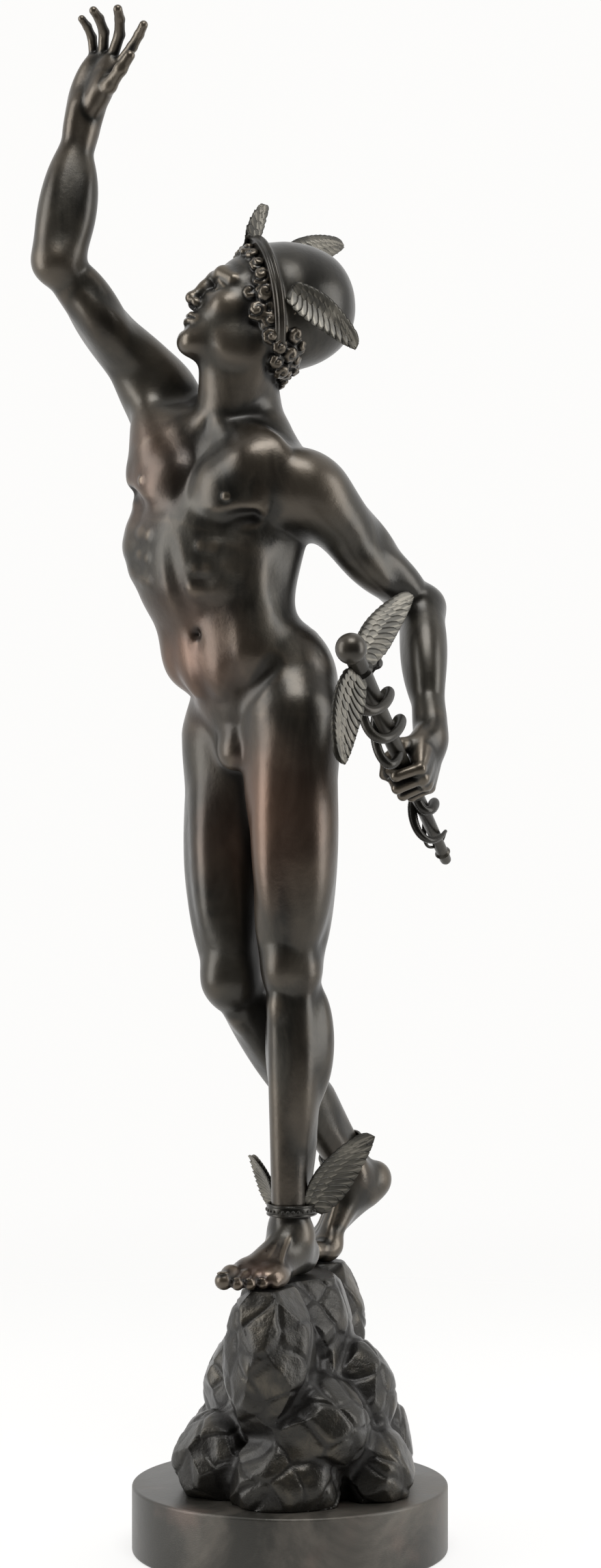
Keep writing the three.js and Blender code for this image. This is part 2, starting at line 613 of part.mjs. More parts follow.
function trunkClay() {
  const lumps = [
    // Pelvis, belly and rib cage.
    swell(pelvis, [0, -0.006, 0.004], [0.068, 0.046, 0.056], 0.02),
    swell(waist, [0, 0.001, 0.002], [0.0615, 0.0425, 0.085], 0.02),
    swell(chest, [0, -0.003, -0.004], [0.0725, 0.0535, 0.1], 0.02),
    swell(chest, [0, -0.012, 0.056], [0.086, 0.043, 0.052], 0.02),
    // Neck, the two cords that run from behind the ears to the collar, and the throat.
    taper(chest.at(0, -0.012, 0.09), head.at(0, -0.007, -0.034), 0.033, 0.03, 0.018),
    taper(chest.at(0.01, 0.022, 0.1), head.at(0.031, -0.014, -0.022), 0.007, 0.011, 0.02),
    taper(chest.at(-0.01, 0.022, 0.1), head.at(-0.031, -0.014, -0.022), 0.007, 0.011, 0.02),
    taper(chest.at(0, 0.008, 0.1), head.at(0, 0.012, -0.042), 0.024, 0.0175, 0.02),
    // Lower belly.
    swell(pelvis, [0, 0.03, 0.03], [0.04, 0.02, 0.045], 0.02),
    swell(pelvis, [0, 0.039, -0.03], [0.018, 0.0145, 0.018], 0.016),
  ];
  for (const { side: out, shoulder } of [pose.right, pose.left]) {
    // A place beside the joint of the shoulder, which is lifted or let down with the arm.
    const beside = (x, y, z) => chest.at(out * x, y, z).add(shoulder).sub(chest.origin);
    lumps.push(
      // Flank, the roll above the hip, and the buttock.
      swell(waist, [out * 0.044, 0.004, -0.028], [0.0245, 0.034, 0.034], 0.014),
      taper(chest.at(out * 0.07, -0.006, 0.055), chest.at(out * 0.057, -0.002, -0.03), 0.021, 0.0225, 0.02),
      taper(chest.at(out * 0.052, 0.006, -0.03), waist.at(out * 0.036, 0.008, -0.03), 0.0235, 0.024, 0.02),
      swell(pelvis, [out * 0.05, -0.004, 0.01], [0.03, 0.036, 0.04], 0.02),
      swell(pelvis, [out * 0.046, -0.019, 0.036], [0.032, 0.033, 0.042], 0.03),
      swell(pelvis, [out * 0.034, -0.028, -0.014], [0.036, 0.033, 0.042], 0.012),
      // Side back and shoulder blade.
      taper(chest.at(out * 0.07, -0.02, 0.05), waist.at(out * 0.036, -0.018, 0.01), 0.026, 0.02, 0.02),
      swell(chest, [out * 0.045, -0.045, 0.05], [0.033, 0.0155, 0.042], 0.014),
      taper(chest.at(out * 0.03, -0.044, 0.066), beside(-0.006, -0.022, -0.022), 0.013, 0.0155, 0.016),
      // The cords along the spine.
      taper(pelvis.at(out * 0.018, -0.035, 0.03), chest.at(out * 0.02, -0.04, 0.0), 0.0155, 0.0145, 0.02),
      // From the neck to each shoulder, and the collar bone.
      taper(chest.at(out * 0.008, -0.014, 0.124), beside(-0.014, -0.008, -0.006), 0.0185, 0.0165, 0.024),
      taper(chest.at(out * 0.03, -0.006, 0.092), beside(-0.007, 0.004, -0.014), 0.024, 0.022, 0.018),
      taper(chest.at(out * 0.01, 0.03, 0.092), beside(-0.008, 0.016, 0.002), 0.0048, 0.0052, 0.012),
      // Breast: a flat fan from the breastbone to the arm.
      swell(chest, [out * 0.032, 0.0365, 0.032], [0.0325, 0.0185, 0.034], 0.007),
      swell(chest, [out * 0.0565, 0.0265, 0.041], [0.0305, 0.02, 0.036], 0.009),
      swell(chest, [out * 0.045, 0.026, 0.071], [0.045, 0.0185, 0.027], 0.014),
      // Straight belly muscles, three rows.
      swell(waist, [out * 0.0158, 0.0375, 0.056], [0.0168, 0.0105, 0.0165], 0.008),
      swell(waist, [out * 0.0162, 0.0365, 0.025], [0.0175, 0.011, 0.0175], 0.008),
      swell(waist, [out * 0.015, 0.0315, -0.026], [0.019, 0.0135, 0.042], 0.012),
    );
    // The saw-toothed muscle along the ribs.
    for (const i of [0, 1, 2, 3])
      lumps.push(
        swell(
          chest,
          [out * (0.0605 - 0.0014 * i * i), 0.0125 - 0.001 * i, 0.004 - 0.02 * i],
          [0.0108, 0.0165, 0.0092],
          0.014,
        ),
      );
    // The rib arch and the groin.
    lumps.push(
      furrow(chest.at(out * 0.016, 0.064, -0.018), chest.at(out * 0.056, 0.045, -0.078), 0.005, 0.004, 0.012),
      furrow(pelvis.at(out * 0.072, 0.032, 0.04), pelvis.at(out * 0.024, 0.056, -0.016), 0.0045, 0.0045, 0.012),
    );
  }
  // The furrows of the back and of the front's midline, and the navel.
  lumps.push(
    furrow(pelvis.at(0, -0.06, 0.02), chest.at(0, -0.067, 0.06), 0.007, 0.008, 0.018),
    furrow(chest.at(0, 0.061, 0.0), chest.at(0, 0.056, 0.076), 0.0035, 0.0035, 0.014),
    furrow(waist.at(0, 0.0555, -0.02), chest.at(0, 0.061, -0.03), 0.003, 0.003, 0.014),
    carved(swell(waist, [0, 0.049, -0.012], [0.0035, 0.008, 0.0045], 0.006)),
  );
  return lumps;
}

// The forearm's core, or a share of it from the wrist up. It is flat towards the wrist.
function wristClay({ wrist, elbow, lowerFront }, share) {
  const lower = limbFrame(wrist, elbow, lowerFront);
  return [
    taper(wrist, wrist.clone().lerp(elbow, share), 0.0136, THREE.MathUtils.lerp(0.0136, 0.0208, share)),
    swell(lower, [0, 0, lower.length * 0.08], [0.0165, 0.0128, 0.032], 0.01),
  ];
}

function armClay({ side, shoulder, elbow, wrist, upperFront, lowerFront }) {
  const out = side;
  const upper = limbFrame(elbow, shoulder, upperFront);
  const lower = limbFrame(wrist, elbow, lowerFront);
  const U = upper.length;
  const L = lower.length;
  // The folds of the breast and of the back reach under the cap of the shoulder.
  const fold = shoulder.clone().lerp(elbow, 0.24);
  return [
    taper(elbow, shoulder, 0.0195, 0.028),
    swell(upper, [0, 0.0138, U * 0.46], [0.02, 0.0196, 0.05], 0.007),
    swell(upper, [out * 0.0077, -0.0121, U * 0.58], [0.0193, 0.0193, 0.058], 0.007),
    swell(upper, [out * -0.0066, -0.0138, U * 0.5], [0.0176, 0.0187, 0.058], 0.007),
    swell(upper, [out * 0.0132, 0.0033, U * 0.27], [0.0123, 0.0149, 0.034], 0.008),
    // Elbow.
    swell(upper, [0, -0.0121, 0], [0.0097, 0.0094, 0.013], 0.01),
    swell(upper, [0, 0, 0.001], [0.0215, 0.0182, 0.018], 0.012),
    ...wristClay({ wrist, elbow, lowerFront }, 1),
    swell(lower, [out * 0.0096, 0.0033, L * 0.7], [0.019, 0.0195, 0.056], 0.01),
    swell(lower, [out * -0.009, -0.0011, L * 0.66], [0.018, 0.0195, 0.06], 0.01),
    // Cap of the shoulder and the folds.
    swell(upper, [out * 0.0066, -0.0011, U * 0.93], [0.0347, 0.0358, 0.0455], 0.014),
    swell(upper, [out * 0.0099, 0.0033, U * 0.76], [0.0237, 0.0259, 0.045], 0.012),
    taper(chest.at(out * 0.054, 0.03, 0.06), fold, 0.0215, 0.011, 0.018),
    taper(chest.at(out * 0.072, -0.03, 0.03), fold, 0.022, 0.012, 0.018),
  ];
}

// Hands. Each finger is three tapers that bend about the knuckles towards the palm.
function fingerClay(root, way, palm, lengths, radius, curls) {
  const lumps = [];
  const axis = way.clone().cross(palm).normalize();
  let here = root.clone();
  const heading = way.clone().normalize();
  lengths.forEach((length, i) => {
    heading.applyAxisAngle(axis, radians(curls[i]));
    const next = here.clone().addScaledVector(heading, length);
    lumps.push(taper(here, next, radius * (1 - 0.08 * i), radius * (0.93 - 0.08 * i), 0.002));
    here = next;
  });
  return lumps;
}

const FINGERS = [
  { across: 0.0185, reach: 0.05, lengths: [0.0235, 0.0145, 0.0115], radius: 0.0058 },
  { across: 0.0065, reach: 0.0525, lengths: [0.0255, 0.0165, 0.012], radius: 0.006 },
  { across: -0.0055, reach: 0.051, lengths: [0.024, 0.0155, 0.0115], radius: 0.0057 },
  { across: -0.0165, reach: 0.047, lengths: [0.019, 0.012, 0.01], radius: 0.0051 },
];

// The hand's frame: side towards the thumb, front out of the palm, up along the fingers.
function handClay(hand, thumbSign, arm, curls, thumb) {
  const s = thumbSign;
  const lumps = [
    ...wristClay(arm, 0.24),
    swell(hand, [0, 0, 0.006], [0.0152, 0.0108, 0.018], 0.012),
    swell(hand, [s * 0.001, 0, 0.028], [0.0215, 0.0088, 0.031], 0.012),
    swell(hand, [s * 0.009, 0.003, 0.03], [0.0135, 0.009, 0.026], 0.006),
    swell(hand, [s * -0.012, 0.003, 0.024], [0.0105, 0.0085, 0.026], 0.006),
    swell(hand, [s * 0.014, 0.006, 0.018], [0.0095, 0.0095, 0.02], 0.006),
  ];
  FINGERS.forEach(({ across, reach, lengths, radius }, i) => {
    const root = hand.at(s * across * 0.92, -0.001, reach);
    const way = hand.at(s * across * 3, 0, reach * 3).sub(hand.origin).normalize();
    way.addScaledVector(hand.side, s * across * 2).normalize();
    const knuckle = hand.at(s * across * 0.8, -0.001, reach - 0.022);
    lumps.push(taper(knuckle, root, radius * 1.05, radius * 1.05, 0.005));
    lumps.push(...fingerClay(root, way, hand.front, lengths, radius, curls[i]));
  });
  const thumbRadius = [0.0085, 0.0068, 0.0058, 0.005];
  const joints = thumb.map(([x, y, z]) => hand.at(s * x, y, z));
  for (const i of [0, 1, 2])
    lumps.push(taper(joints[i], joints[i + 1], thumbRadius[i], thumbRadius[i + 1], 0.004));
  return lumps;
}

const rightHand = new Frame(pose.right.wrist, at(0.4, -0.22, 0.89), facing(38));
const staffWay = at(-0.3, -0.735, 0.61).normalize();
const gripWay = at(-0.16, -0.62, -0.78).normalize();
const leftHand = new Frame(pose.left.wrist, gripWay, gripWay.clone().cross(staffWay));
const grip = leftHand.at(0, 0.0165, 0.043);

const OPEN_CURLS = [[4, 10, 6], [14, 22, 12], [22, 28, 16], [20, 26, 16]];
const OPEN_THUMB = [
  [0.011, 0.003, 0.012],
  [0.0245, 0.008, 0.03],
  [0.033, 0.0115, 0.049],
  [0.0375, 0.012, 0.064],
];
const FIST_CURLS = [[58, 88, 58], [62, 90, 60], [64, 90, 62], [66, 88, 62]];
const FIST_THUMB = [
  [0.013, 0.005, 0.014],
  [0.0255, 0.018, 0.028],
  [0.021, 0.031, 0.041],
  [0.009, 0.036, 0.048],
];

// The hat is worn tilted back on the head.
const hatFrame = (() => {
  const back = radians(53);
  const up = head.up.clone().multiplyScalar(Math.cos(back)).addScaledVector(head.front, -Math.sin(back));
  return new Frame(head.at(0, -0.003, 0.0095), up, head.front, 1.06);
})();

function headClay() {
  const lumps = [
    // Skull, face and jaw.
    swell(head, [0, -0.009, 0.018], [0.0425, 0.0515, 0.046], 0.01),
    swell(head, [0, 0.014, -0.008], [0.0335, 0.0335, 0.042], 0.016),
    swell(head, [0, 0.013, -0.036], [0.0265, 0.029, 0.0205], 0.014),
    swell(head, [0, 0.0385, -0.0525], [0.0115, 0.0105, 0.0095], 0.012),
    // Brow, nose and lips.
    taper(head.at(-0.018, 0.0385, 0.0115), head.at(0.018, 0.0385, 0.0115), 0.0062, 0.0062, 0.01),
    taper(head.at(0, 0.043, 0.012), head.at(0, 0.0555, -0.0175), 0.0045, 0.0051, 0.007),
    swell(head, [0, 0.0435, -0.0315], [0.0105, 0.0062, 0.0034], 0.004),
    swell(head, [0, 0.0428, -0.0378], [0.009, 0.006, 0.0036], 0.004),
    // Neck, running down into the chest.
    taper(head.at(0, -0.008, -0.03), chest.at(0, -0.011, 0.104), 0.029, 0.031, 0.012),
  ];
  for (const out of [1, -1]) {
    lumps.push(
      // Cheek, corner of the jaw, wing of the nose, eye and ear.
      swell(head, [out * 0.0225, 0.0265, -0.014], [0.0115, 0.012, 0.011], 0.012),
      swell(head, [out * 0.0245, 0.004, -0.036], [0.0085, 0.015, 0.0155], 0.014),
      swell(head, [out * 0.0052, 0.0475, -0.02], [0.0042, 0.006, 0.0038], 0.004),
      carved(swell(head, [out * 0.0162, 0.0465, 0.001], [0.0105, 0.0085, 0.0062], 0.007)),
      swell(head, [out * 0.0162, 0.0345, 0], [0.0088, 0.0085, 0.006], 0.003),
      swell(head, [out * 0.0425, -0.01, -0.008], [0.0042, 0.009, 0.0155], 0.004),
    );
  }
  lumps.push(...hairClay());
  return lumps;
}

// Short locks show between the hat and the neck, from one temple round the nape to the other, and
// a row of them frames the face under the brim.
function hairClay() {
  const lumps = [swell(head, [0, -0.024, -0.012], [0.0415, 0.035, 0.03], 0.012)];
  const rows = [
    { locks: 13, sweep: 128, height: 0.002, radius: 0.009, ring: 0.046 },
    { locks: 11, sweep: 108, height: -0.0135, radius: 0.009, ring: 0.0455 },
    { locks: 9, sweep: 78, height: -0.0285, radius: 0.0088, ring: 0.043 },
    { locks: 6, sweep: 46, height: -0.042, radius: 0.008, ring: 0.039 },
  ];
  for (const { locks, sweep, height, radius, ring } of rows)
    for (let i = 0; i < locks; i++) {
      const turn = radians(sweep * ((2 * i) / (locks - 1) - 1));
      const place = [ring * 0.98 * Math.sin(turn), -0.012 - ring * 0.95 * Math.cos(turn), height];
      const fat = radius * (0.9 + 0.1 * ((i * 5) % 3));
      lumps.push(swell(head, place, [fat, fat, radius * 1.15], 0.003));
    }
  const fringe = 11;
  for (let i = 0; i < fringe; i++) {
    const turn = radians(84 * ((2 * i) / (fringe - 1) - 1));
    const place = [0.0445 * Math.sin(turn), 0.0485 * Math.cos(turn), -0.0085];
    lumps.push(swell(hatFrame, place, [0.0088, 0.0088, 0.0088], 0.004));
  }
  return lumps;
}

const bodyClay = () => [
  ...trunkClay(),
  ...legClay(pose.left),
  ...legClay(pose.right),
  ...armClay(pose.right),
  ...armClay(pose.left),
];

// A round cap with a narrow rolled brim, turned round its own axis.
const hatWidth = 0.9;
const HAT_PROFILE = [
  [0, 0.086],
  [0.022, 0.0823],
  [0.0395, 0.0712],
  [0.0512, 0.0525],
  [0.057, 0.03],
  [0.0575, 0.0095],
  [0.06, 0.0052],
  [0.0632, 0.0044],
  [0.0648, 0.0019],
  [0.063, -0.0007],
  [0.0638, -0.0033],
  [0.0615, -0.0052],
  [0.056, -0.0045],
  [0, -0.0045],
];

// The same frame in millimetres, and a turned shape stood up in it.
const millimetres = ({ origin, up, front, unit }) =>
  new Frame(origin.clone().multiplyScalar(stature), up, front, unit);

function placed(geometry, { origin, side, front, up }) {
  return geometry.applyMatrix4(new THREE.Matrix4().makeBasis(side, front, up).setPosition(origin));
}

function hatSolid() {
  const profile = HAT_PROFILE.map(([r, z]) => new THREE.Vector2(r, z).multiplyScalar(stature)).reverse();
  const dome = millimetres(hatFrame);
  const cap = new THREE.LatheGeometry(profile, 24)
    .rotateX(Math.PI / 2)
    .scale(hatWidth * dome.unit, dome.unit, dome.unit);
  const leafRoot = dome.at(0, 0.058 * stature, -0.003 * stature);
  const leafWay = dome.front.clone().addScaledVector(dome.up, 0.4);
  const leafLead = dome.side.clone().multiplyScalar(0.7).addScaledVector(dome.up, 0.8);
  const leaf = wingSolid(leafRoot, leafWay, leafLead, dome.front, {
    length: 0.042 * stature,
    width: 0.024 * stature,
    thickness: wingThickness,
    feathers: 3,
    sweep: 0,
    curl: -0.1,
  });
  return solidOf(placed(cap, dome)).add(leaf);
}

// A wing is a thin leaf: a smooth leading edge, round feather tips along the trailing edge,
// swept back towards its tip and curled outwards.
function wingSolid(root, way, lead, outward, { length, width, thickness, feathers, sweep, curl }) {
  const along = way.clone().normalize();
  const leading = lead.clone().addScaledVector(along, -lead.dot(along)).normalize();
  const face = along.clone().cross(leading);
  if (face.dot(outward) < 0) face.negate();
  const steps = feathers * 3;
  const across = [-1, -0.45, 0.35, 1];
  const rings = Array.from({ length: steps + 1 }, (_, i) => {
    const u = (i / steps) * 0.985;
    const full = (0.5 + 0.5 * Math.sin(Math.min(1, u * 2.4) * Math.PI * 0.5)) * (1 - u ** 2.4) ** 0.8;
    const scallop = i < steps ? 0.87 + 0.13 * Math.sin(((i % 3) / 3) * Math.PI) ** 0.7 : 1;
    const point = (v, turn) => {
      const chord = v > 0 ? 0.42 * v : 0.58 * v * scallop;
      const lens = turn * (thickness / 2) * Math.sqrt(1 - v * v) * (1 - 0.55 * u);
      return root
        .clone()
        .addScaledVector(along, length * u)
        .addScaledVector(leading, width * full * chord - sweep * length * u * u)
        .addScaledVector(face, lens + curl * length * (u * u + 0.4 * v * v * full));
    };
    return [...across.map((v) => point(v, 1)), ...across.slice(1, -1).reverse().map((v) => point(v, -1))];
  });
  return lofted(rings);
}

// The caduceus lies along its own axis through the fist: a tapered rod with a ball, two twined
// snakes whose coils close in on the rod where the hand holds it, and two leaf wings.
const staff = new Frame(grip.clone().multiplyScalar(stature), staffWay, leftHand.front);
const rodRadiusAt = (z) => {
  const t = (z + rodBelowGrip) / (rodBelowGrip + rodAboveGrip);
  return THREE.MathUtils.lerp(rodTailDiameter, rodTopDiameter, t) / 2;
};
const gripHalf = 0.029 * stature;

function rodGeometry(clearance, sides) {
  const [low, high] = [-rodBelowGrip, rodAboveGrip];
  const profile = [
    new THREE.Vector2(0, low),
    new THREE.Vector2(rodRadiusAt(low) + clearance, low),
    new THREE.Vector2(rodRadiusAt(high) + clearance, high),
    new THREE.Vector2(0, high),
  ];
  const geometry = new THREE.LatheGeometry(profile, sides).rotateX(Math.PI / 2);
  return placed(geometry, staff);
}

function snakeSolid(turn) {
  const [tail, neck] = [-0.8 * rodBelowGrip, 0.77 * rodAboveGrip];
  const steps = 38;
  const body = snakeDiameter / 2;
  const centre = (z) => {
    const open = THREE.MathUtils.smoothstep(Math.abs(z), gripHalf, gripHalf + 13);
    const fade = THREE.MathUtils.smoothstep(z, tail - 2, tail + 12);
    const phase = ((z - gripHalf) / coilPitch) * 2 * Math.PI;
    const wide = THREE.MathUtils.lerp(0.3, coilRadius * (z < 0 ? 0.8 : 1), open) * fade;
    const deep = THREE.MathUtils.lerp(0.3, rodRadiusAt(z) + body * 0.9, open);
    return at(turn * wide * Math.sin(phase), turn * deep * Math.cos(phase), z);
  };
  const girth = (u) => {
    const head = 1 + 0.35 * Math.exp(-(((u - 0.965) / 0.022) ** 2));
    const end = Math.min(1, u / 0.22) ** 0.7 * Math.min(1, (1 - u) / 0.025 + 0.3);
    return body * Math.max(0.28, end) * head;
  };
  const rings = Array.from({ length: steps + 1 }, (_, i) => {
    const u = i / steps;
    const z = THREE.MathUtils.lerp(tail, neck, u);
    const here = centre(z);
    const way = centre(z + 0.4).sub(centre(z - 0.4)).normalize();
    const side = at(0, 0, 1).cross(way).cross(way).normalize();
    const other = way.clone().cross(side);
    return Array.from({ length: 6 }, (_, k) => {
      const a = (k / 6) * Math.PI * 2;
      const p = here
        .clone()
        .addScaledVector(side, girth(u) * Math.cos(a))
        .addScaledVector(other, girth(u) * Math.sin(a));
      return staff.at(p.x, p.y, p.z);
    });
  });
  return lofted(rings);
}

function staffWing(sign) {
  const lift = at(0.39, 0.62, 0.92).multiplyScalar(sign);
  const way = lift.addScaledVector(staff.up, -lift.dot(staff.up)).normalize();
  const root = staff.at(0, 0, rodAboveGrip - 0.9 * ballDiameter).addScaledVector(way, rodTopDiameter * 0.3);
  return wingSolid(root, way, at(-0.76, -0.35, 0.55), at(0, -1, 0), {
    length: staffWingLength,
    width: staffWingLength * 0.34,
    thickness: wingThickness,
    feathers: 5,
    sweep: 0.22,
    curl: 0.06,
  });
}

function caduceusSolid() {
  const ball = new THREE.SphereGeometry(ballDiameter / 2, 14, 9);
  const centre = staff.at(0, 0, rodAboveGrip);
  ball.translate(centre.x, centre.y, centre.z);
  return joined([
    solidOf(rodGeometry(0, 10)),
    solidOf(ball),
    snakeSolid(1),
    snakeSolid(-1),
    staffWing(1),
    staffWing(-1),
  ]);
}

// A plain band round an ankle, cast in one with the leg.
function ankleBand({ ankle, knee, kneeFront }) {
  const shin = millimetres(limbFrame(ankle, knee, kneeFront));
  const torus = new THREE.TorusGeometry(0.0213 * stature, 0.0042 * stature, 6, 20).scale(1, 1.12, 1.4);
  torus.translate(0, -0.003 * stature, 0.024 * stature);
  return solidOf(placed(torus, shin));
}

// The figure is one casting: body, head, hair, hat, hands and ankle bands. Its soles are flat.
function figureSolid() {
  const figure = joined([
    solidOfClay(bodyClay(), 4, 3300),
    solidOfClay(headClay(), 2, 1200),
    solidOfClay(handClay(rightHand, -1, pose.right, OPEN_CURLS, OPEN_THUMB), 1.4, 520),
    solidOfClay(handClay(leftHand, 1, pose.left, FIST_CURLS, FIST_THUMB), 1.4, 520),
    hatSolid(),
    ankleBand(pose.left),
    ankleBand(pose.right),
  ]);
  const ground = new THREE.BoxGeometry(stature, stature, stature / 4).translate(0, 0, -stature / 8);
  return figure.subtract(solidOf(ground)).subtract(solidOf(rodGeometry(seatGap, 16)));
}

// The wings of the hat and of the left ankle seat on the figure: each is cut by it, and by it
// moved a seat gap outwards, up, down, forwards and back, so that it stands off by that gap.
// `out` is 1 for the figure's right side and -1 for its left.
function seatedWing(figure, frame, out, [x, y, z], [sideways, forwards, upwards], lead, shape) {
  const outward = frame.side.clone().multiplyScalar(out);
  const root = frame.at(out * x * stature, y * stature, z * stature);
  const way = at(0, 0, 0)
    .addScaledVector(outward, sideways)
    .addScaledVector(frame.front, forwards)
    .addScaledVector(frame.up, upwards);
  const wing = wingSolid(root, way, lead, outward, { thickness: wingThickness, feathers: 5, ...shape });
  const { min, max } = wing.boundingBox();
  const room = wasm.Manifold.cube(max.map((v, i) => v - min[i] + 4)).translate(min.map((v) => v - 2));
  const near = figure.intersect(room);
  const ways = [outward, frame.up, frame.up.clone().negate(), frame.front, frame.front.clone().negate()];
  return ways.reduce(
    (rest, gapWay) => rest.subtract(near.translate(gapWay.clone().multiplyScalar(seatGap).toArray())),
    wing.subtract(near),
  );
}

// The hat's left wing lies back along the dome, and its right wing stands up.
function hatWing(figure, out) {
  const length = 0.086 * stature;
  const shape = { length, width: length * 0.36, sweep: 0.26, curl: 0.12 };
  const dome = millimetres(hatFrame);
  const [root, way] =
    out > 0
      ? [[0.022, 0.044, 0.036], [0.3, 0.45, 0.8]]
      : [[0.0505, 0.004, 0.012], [0.3, -0.58, 0.7]];
  const lead = dome.front.clone().multiplyScalar(0.75).addScaledVector(dome.up, out > 0 ? 0.15 : 0.6);
  return seatedWing(figure, dome, out, root, way, lead, shape);
}

function ankleWing(figure, out, share) {
  const { ankle, knee, toesOut } = pose.left;
  const shin = millimetres(limbFrame(ankle, knee, toesOut));
  const length = 0.092 * stature * share;
  const shape = { length, width: length * 0.4, sweep: 0.2, curl: 0.1 };
  return seatedWing(figure, shin, out, [0.0205, -0.006, 0.024], [0.45, -0.25, 1], shin.up, shape);
}

// The mound is a heap of rounded boulders with a flat seat under both feet. Each boulder has its
// place and its half widths, in shares of the mound's radius and of its height.
const BOULDERS = [
  [0.06, 0.02, 0.1, 0.66, 0.82, 0.8],
  [0.06, 0.1, 0.5, 0.46, 0.7, 0.42],
  [-0.14, -0.58, 0.66, 0.34, 0.4, 0.44],
  [0.16, 0.6, 0.66, 0.4, 0.4, 0.44],
  [0.04, 0.04, 0.76, 0.42, 0.6, 0.34],
  [-0.3, 0.16, 0.44, 0.34, 0.42, 0.3],
  [0.44, -0.1, 0.42, 0.32, 0.42, 0.3],
  [0.16, -0.56, 0.34, 0.42, 0.4, 0.26],
  [-0.48, -0.3, 0.14, 0.36, 0.42, 0.26],
  [0.54, -0.36, 0.1, 0.34, 0.38, 0.24],
  [0.58, 0.26, 0.14, 0.32, 0.42, 0.28],
  [-0.42, 0.42, 0.12, 0.36, 0.4, 0.26],
  [-0.04, -0.7, 0.08, 0.42, 0.28, 0.28],
  [0.1, 0.68, 0.12, 0.44, 0.28, 0.34],
];

function moundSolid() {
  const wide = moundRadius / stature;
  const rise = moundHeight / stature;
  const upright = new Frame(at(0, 0, 0), at(0, 0, 1), facing(0));
  const boulders = BOULDERS.map(([x, y, z, rx, ry, rz]) =>
    swell(upright, [-x * wide, -y * wide, z * rise], [rx * wide, ry * wide, rz * rise], 0.012),
  );
  const heap = solidOfClay(boulders, 5, 800);
  const round = new THREE.CylinderGeometry(moundRadius, moundRadius, moundHeight, 40)
    .rotateX(Math.PI / 2)
    .translate(0, 0, moundHeight / 2);
  return heap.intersect(solidOf(round));
}

// The plinth is a plain turned drum.
function plinthGeometry() {
  const radius = moundRadius + plinthMargin;
  const profile = [
    [0, 0],
    [radius - plinthBevel, 0],
    [radius, plinthBevel],
    [radius, plinthHeight - plinthBevel],
    [radius - plinthBevel, plinthHeight],
    [0, plinthHeight],
  ].map(([r, z]) => new THREE.Vector2(r, z));
  return new THREE.LatheGeometry(profile, 56).rotateX(Math.PI / 2);
}

const bronze = (color, roughness) => new THREE.MeshStandardMaterial({ color, roughness, metalness: 0.9 });
const darkBronze = bronze(0x2c211a, 0.3);
const greyBronze = bronze(0x3d3833, 0.42);

const statuette = new THREE.Group();
function piece(name, geometry, material, z = 0) {
  const mesh = new THREE.Mesh(geometry, material);
  mesh.name = name;
  mesh.position.z = z;
  statuette.add(mesh);
}

const figure = figureSolid();
const moundSeat = plinthHeight + seatGap;
const footing = moundSeat + moundHeight + seatGap;
piece("plinth", plinthGeometry(), greyBronze.clone());
piece("mound", geometryOf(moundSolid()), greyBronze.clone(), moundSeat);
piece("figure", geometryOf(figure), darkBronze.clone(), footing);
piece("caduceus", geometryOf(caduceusSolid()), darkBronze.clone(), footing);
piece("hat_wing_right", geometryOf(hatWing(figure, 1)), darkBronze.clone(), footing);
piece("hat_wing_left", geometryOf(hatWing(figure, -1)), darkBronze.clone(), footing);
piece("left_ankle_wing_outer", geometryOf(ankleWing(figure, -1, 1)), darkBronze.clone(), footing);
piece("left_ankle_wing_inner", geometryOf(ankleWing(figure, 1, 0.62)), darkBronze.clone(), footing);

export default statuette;
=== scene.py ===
import json
import math

import bmesh
import bpy
import numpy as np
from mathutils import Matrix, Vector, noise

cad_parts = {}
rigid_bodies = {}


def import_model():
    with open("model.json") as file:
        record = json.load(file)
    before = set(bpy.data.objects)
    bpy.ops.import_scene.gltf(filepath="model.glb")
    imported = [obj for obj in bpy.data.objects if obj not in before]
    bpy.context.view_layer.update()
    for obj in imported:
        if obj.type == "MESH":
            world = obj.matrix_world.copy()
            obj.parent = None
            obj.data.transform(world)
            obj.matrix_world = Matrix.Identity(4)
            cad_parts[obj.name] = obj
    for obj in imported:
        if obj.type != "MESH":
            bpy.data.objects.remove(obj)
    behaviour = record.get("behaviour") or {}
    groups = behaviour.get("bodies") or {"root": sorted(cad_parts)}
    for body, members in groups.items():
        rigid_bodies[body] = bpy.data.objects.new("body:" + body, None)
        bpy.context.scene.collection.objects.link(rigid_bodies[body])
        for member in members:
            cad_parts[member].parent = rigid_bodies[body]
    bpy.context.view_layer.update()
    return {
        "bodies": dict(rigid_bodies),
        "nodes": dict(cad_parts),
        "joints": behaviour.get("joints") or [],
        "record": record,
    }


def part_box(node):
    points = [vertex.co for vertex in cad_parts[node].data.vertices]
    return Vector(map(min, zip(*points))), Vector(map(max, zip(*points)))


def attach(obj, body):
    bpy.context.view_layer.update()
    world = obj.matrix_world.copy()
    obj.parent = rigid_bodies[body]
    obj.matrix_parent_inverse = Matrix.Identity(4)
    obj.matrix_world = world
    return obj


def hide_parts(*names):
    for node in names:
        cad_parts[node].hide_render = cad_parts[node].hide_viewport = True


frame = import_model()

scene = bpy.context.scene


# The studio. The camera stands level with the figure's hip and looks straight ahead, so it looks
# down on the plinth. A white cove wraps the bronze in light from behind and from both sides, and
# the room behind the camera is darker, so that the metal reads dark with bright edges.
EYE = Vector((0.006, -1.77, 0.436))
SEEN_HEIGHT = 0.8943

camera = bpy.data.objects.new("photo_camera", bpy.data.cameras.new("photo_camera"))
camera.location = EYE
camera.rotation_euler = (math.pi / 2, 0, 0)
camera.data.angle = 2 * math.atan(SEEN_HEIGHT / 2 / -EYE.y)
camera.data.clip_end = 50
scene.collection.objects.link(camera)
scene.camera = camera
scene.view_settings.view_transform = "Standard"


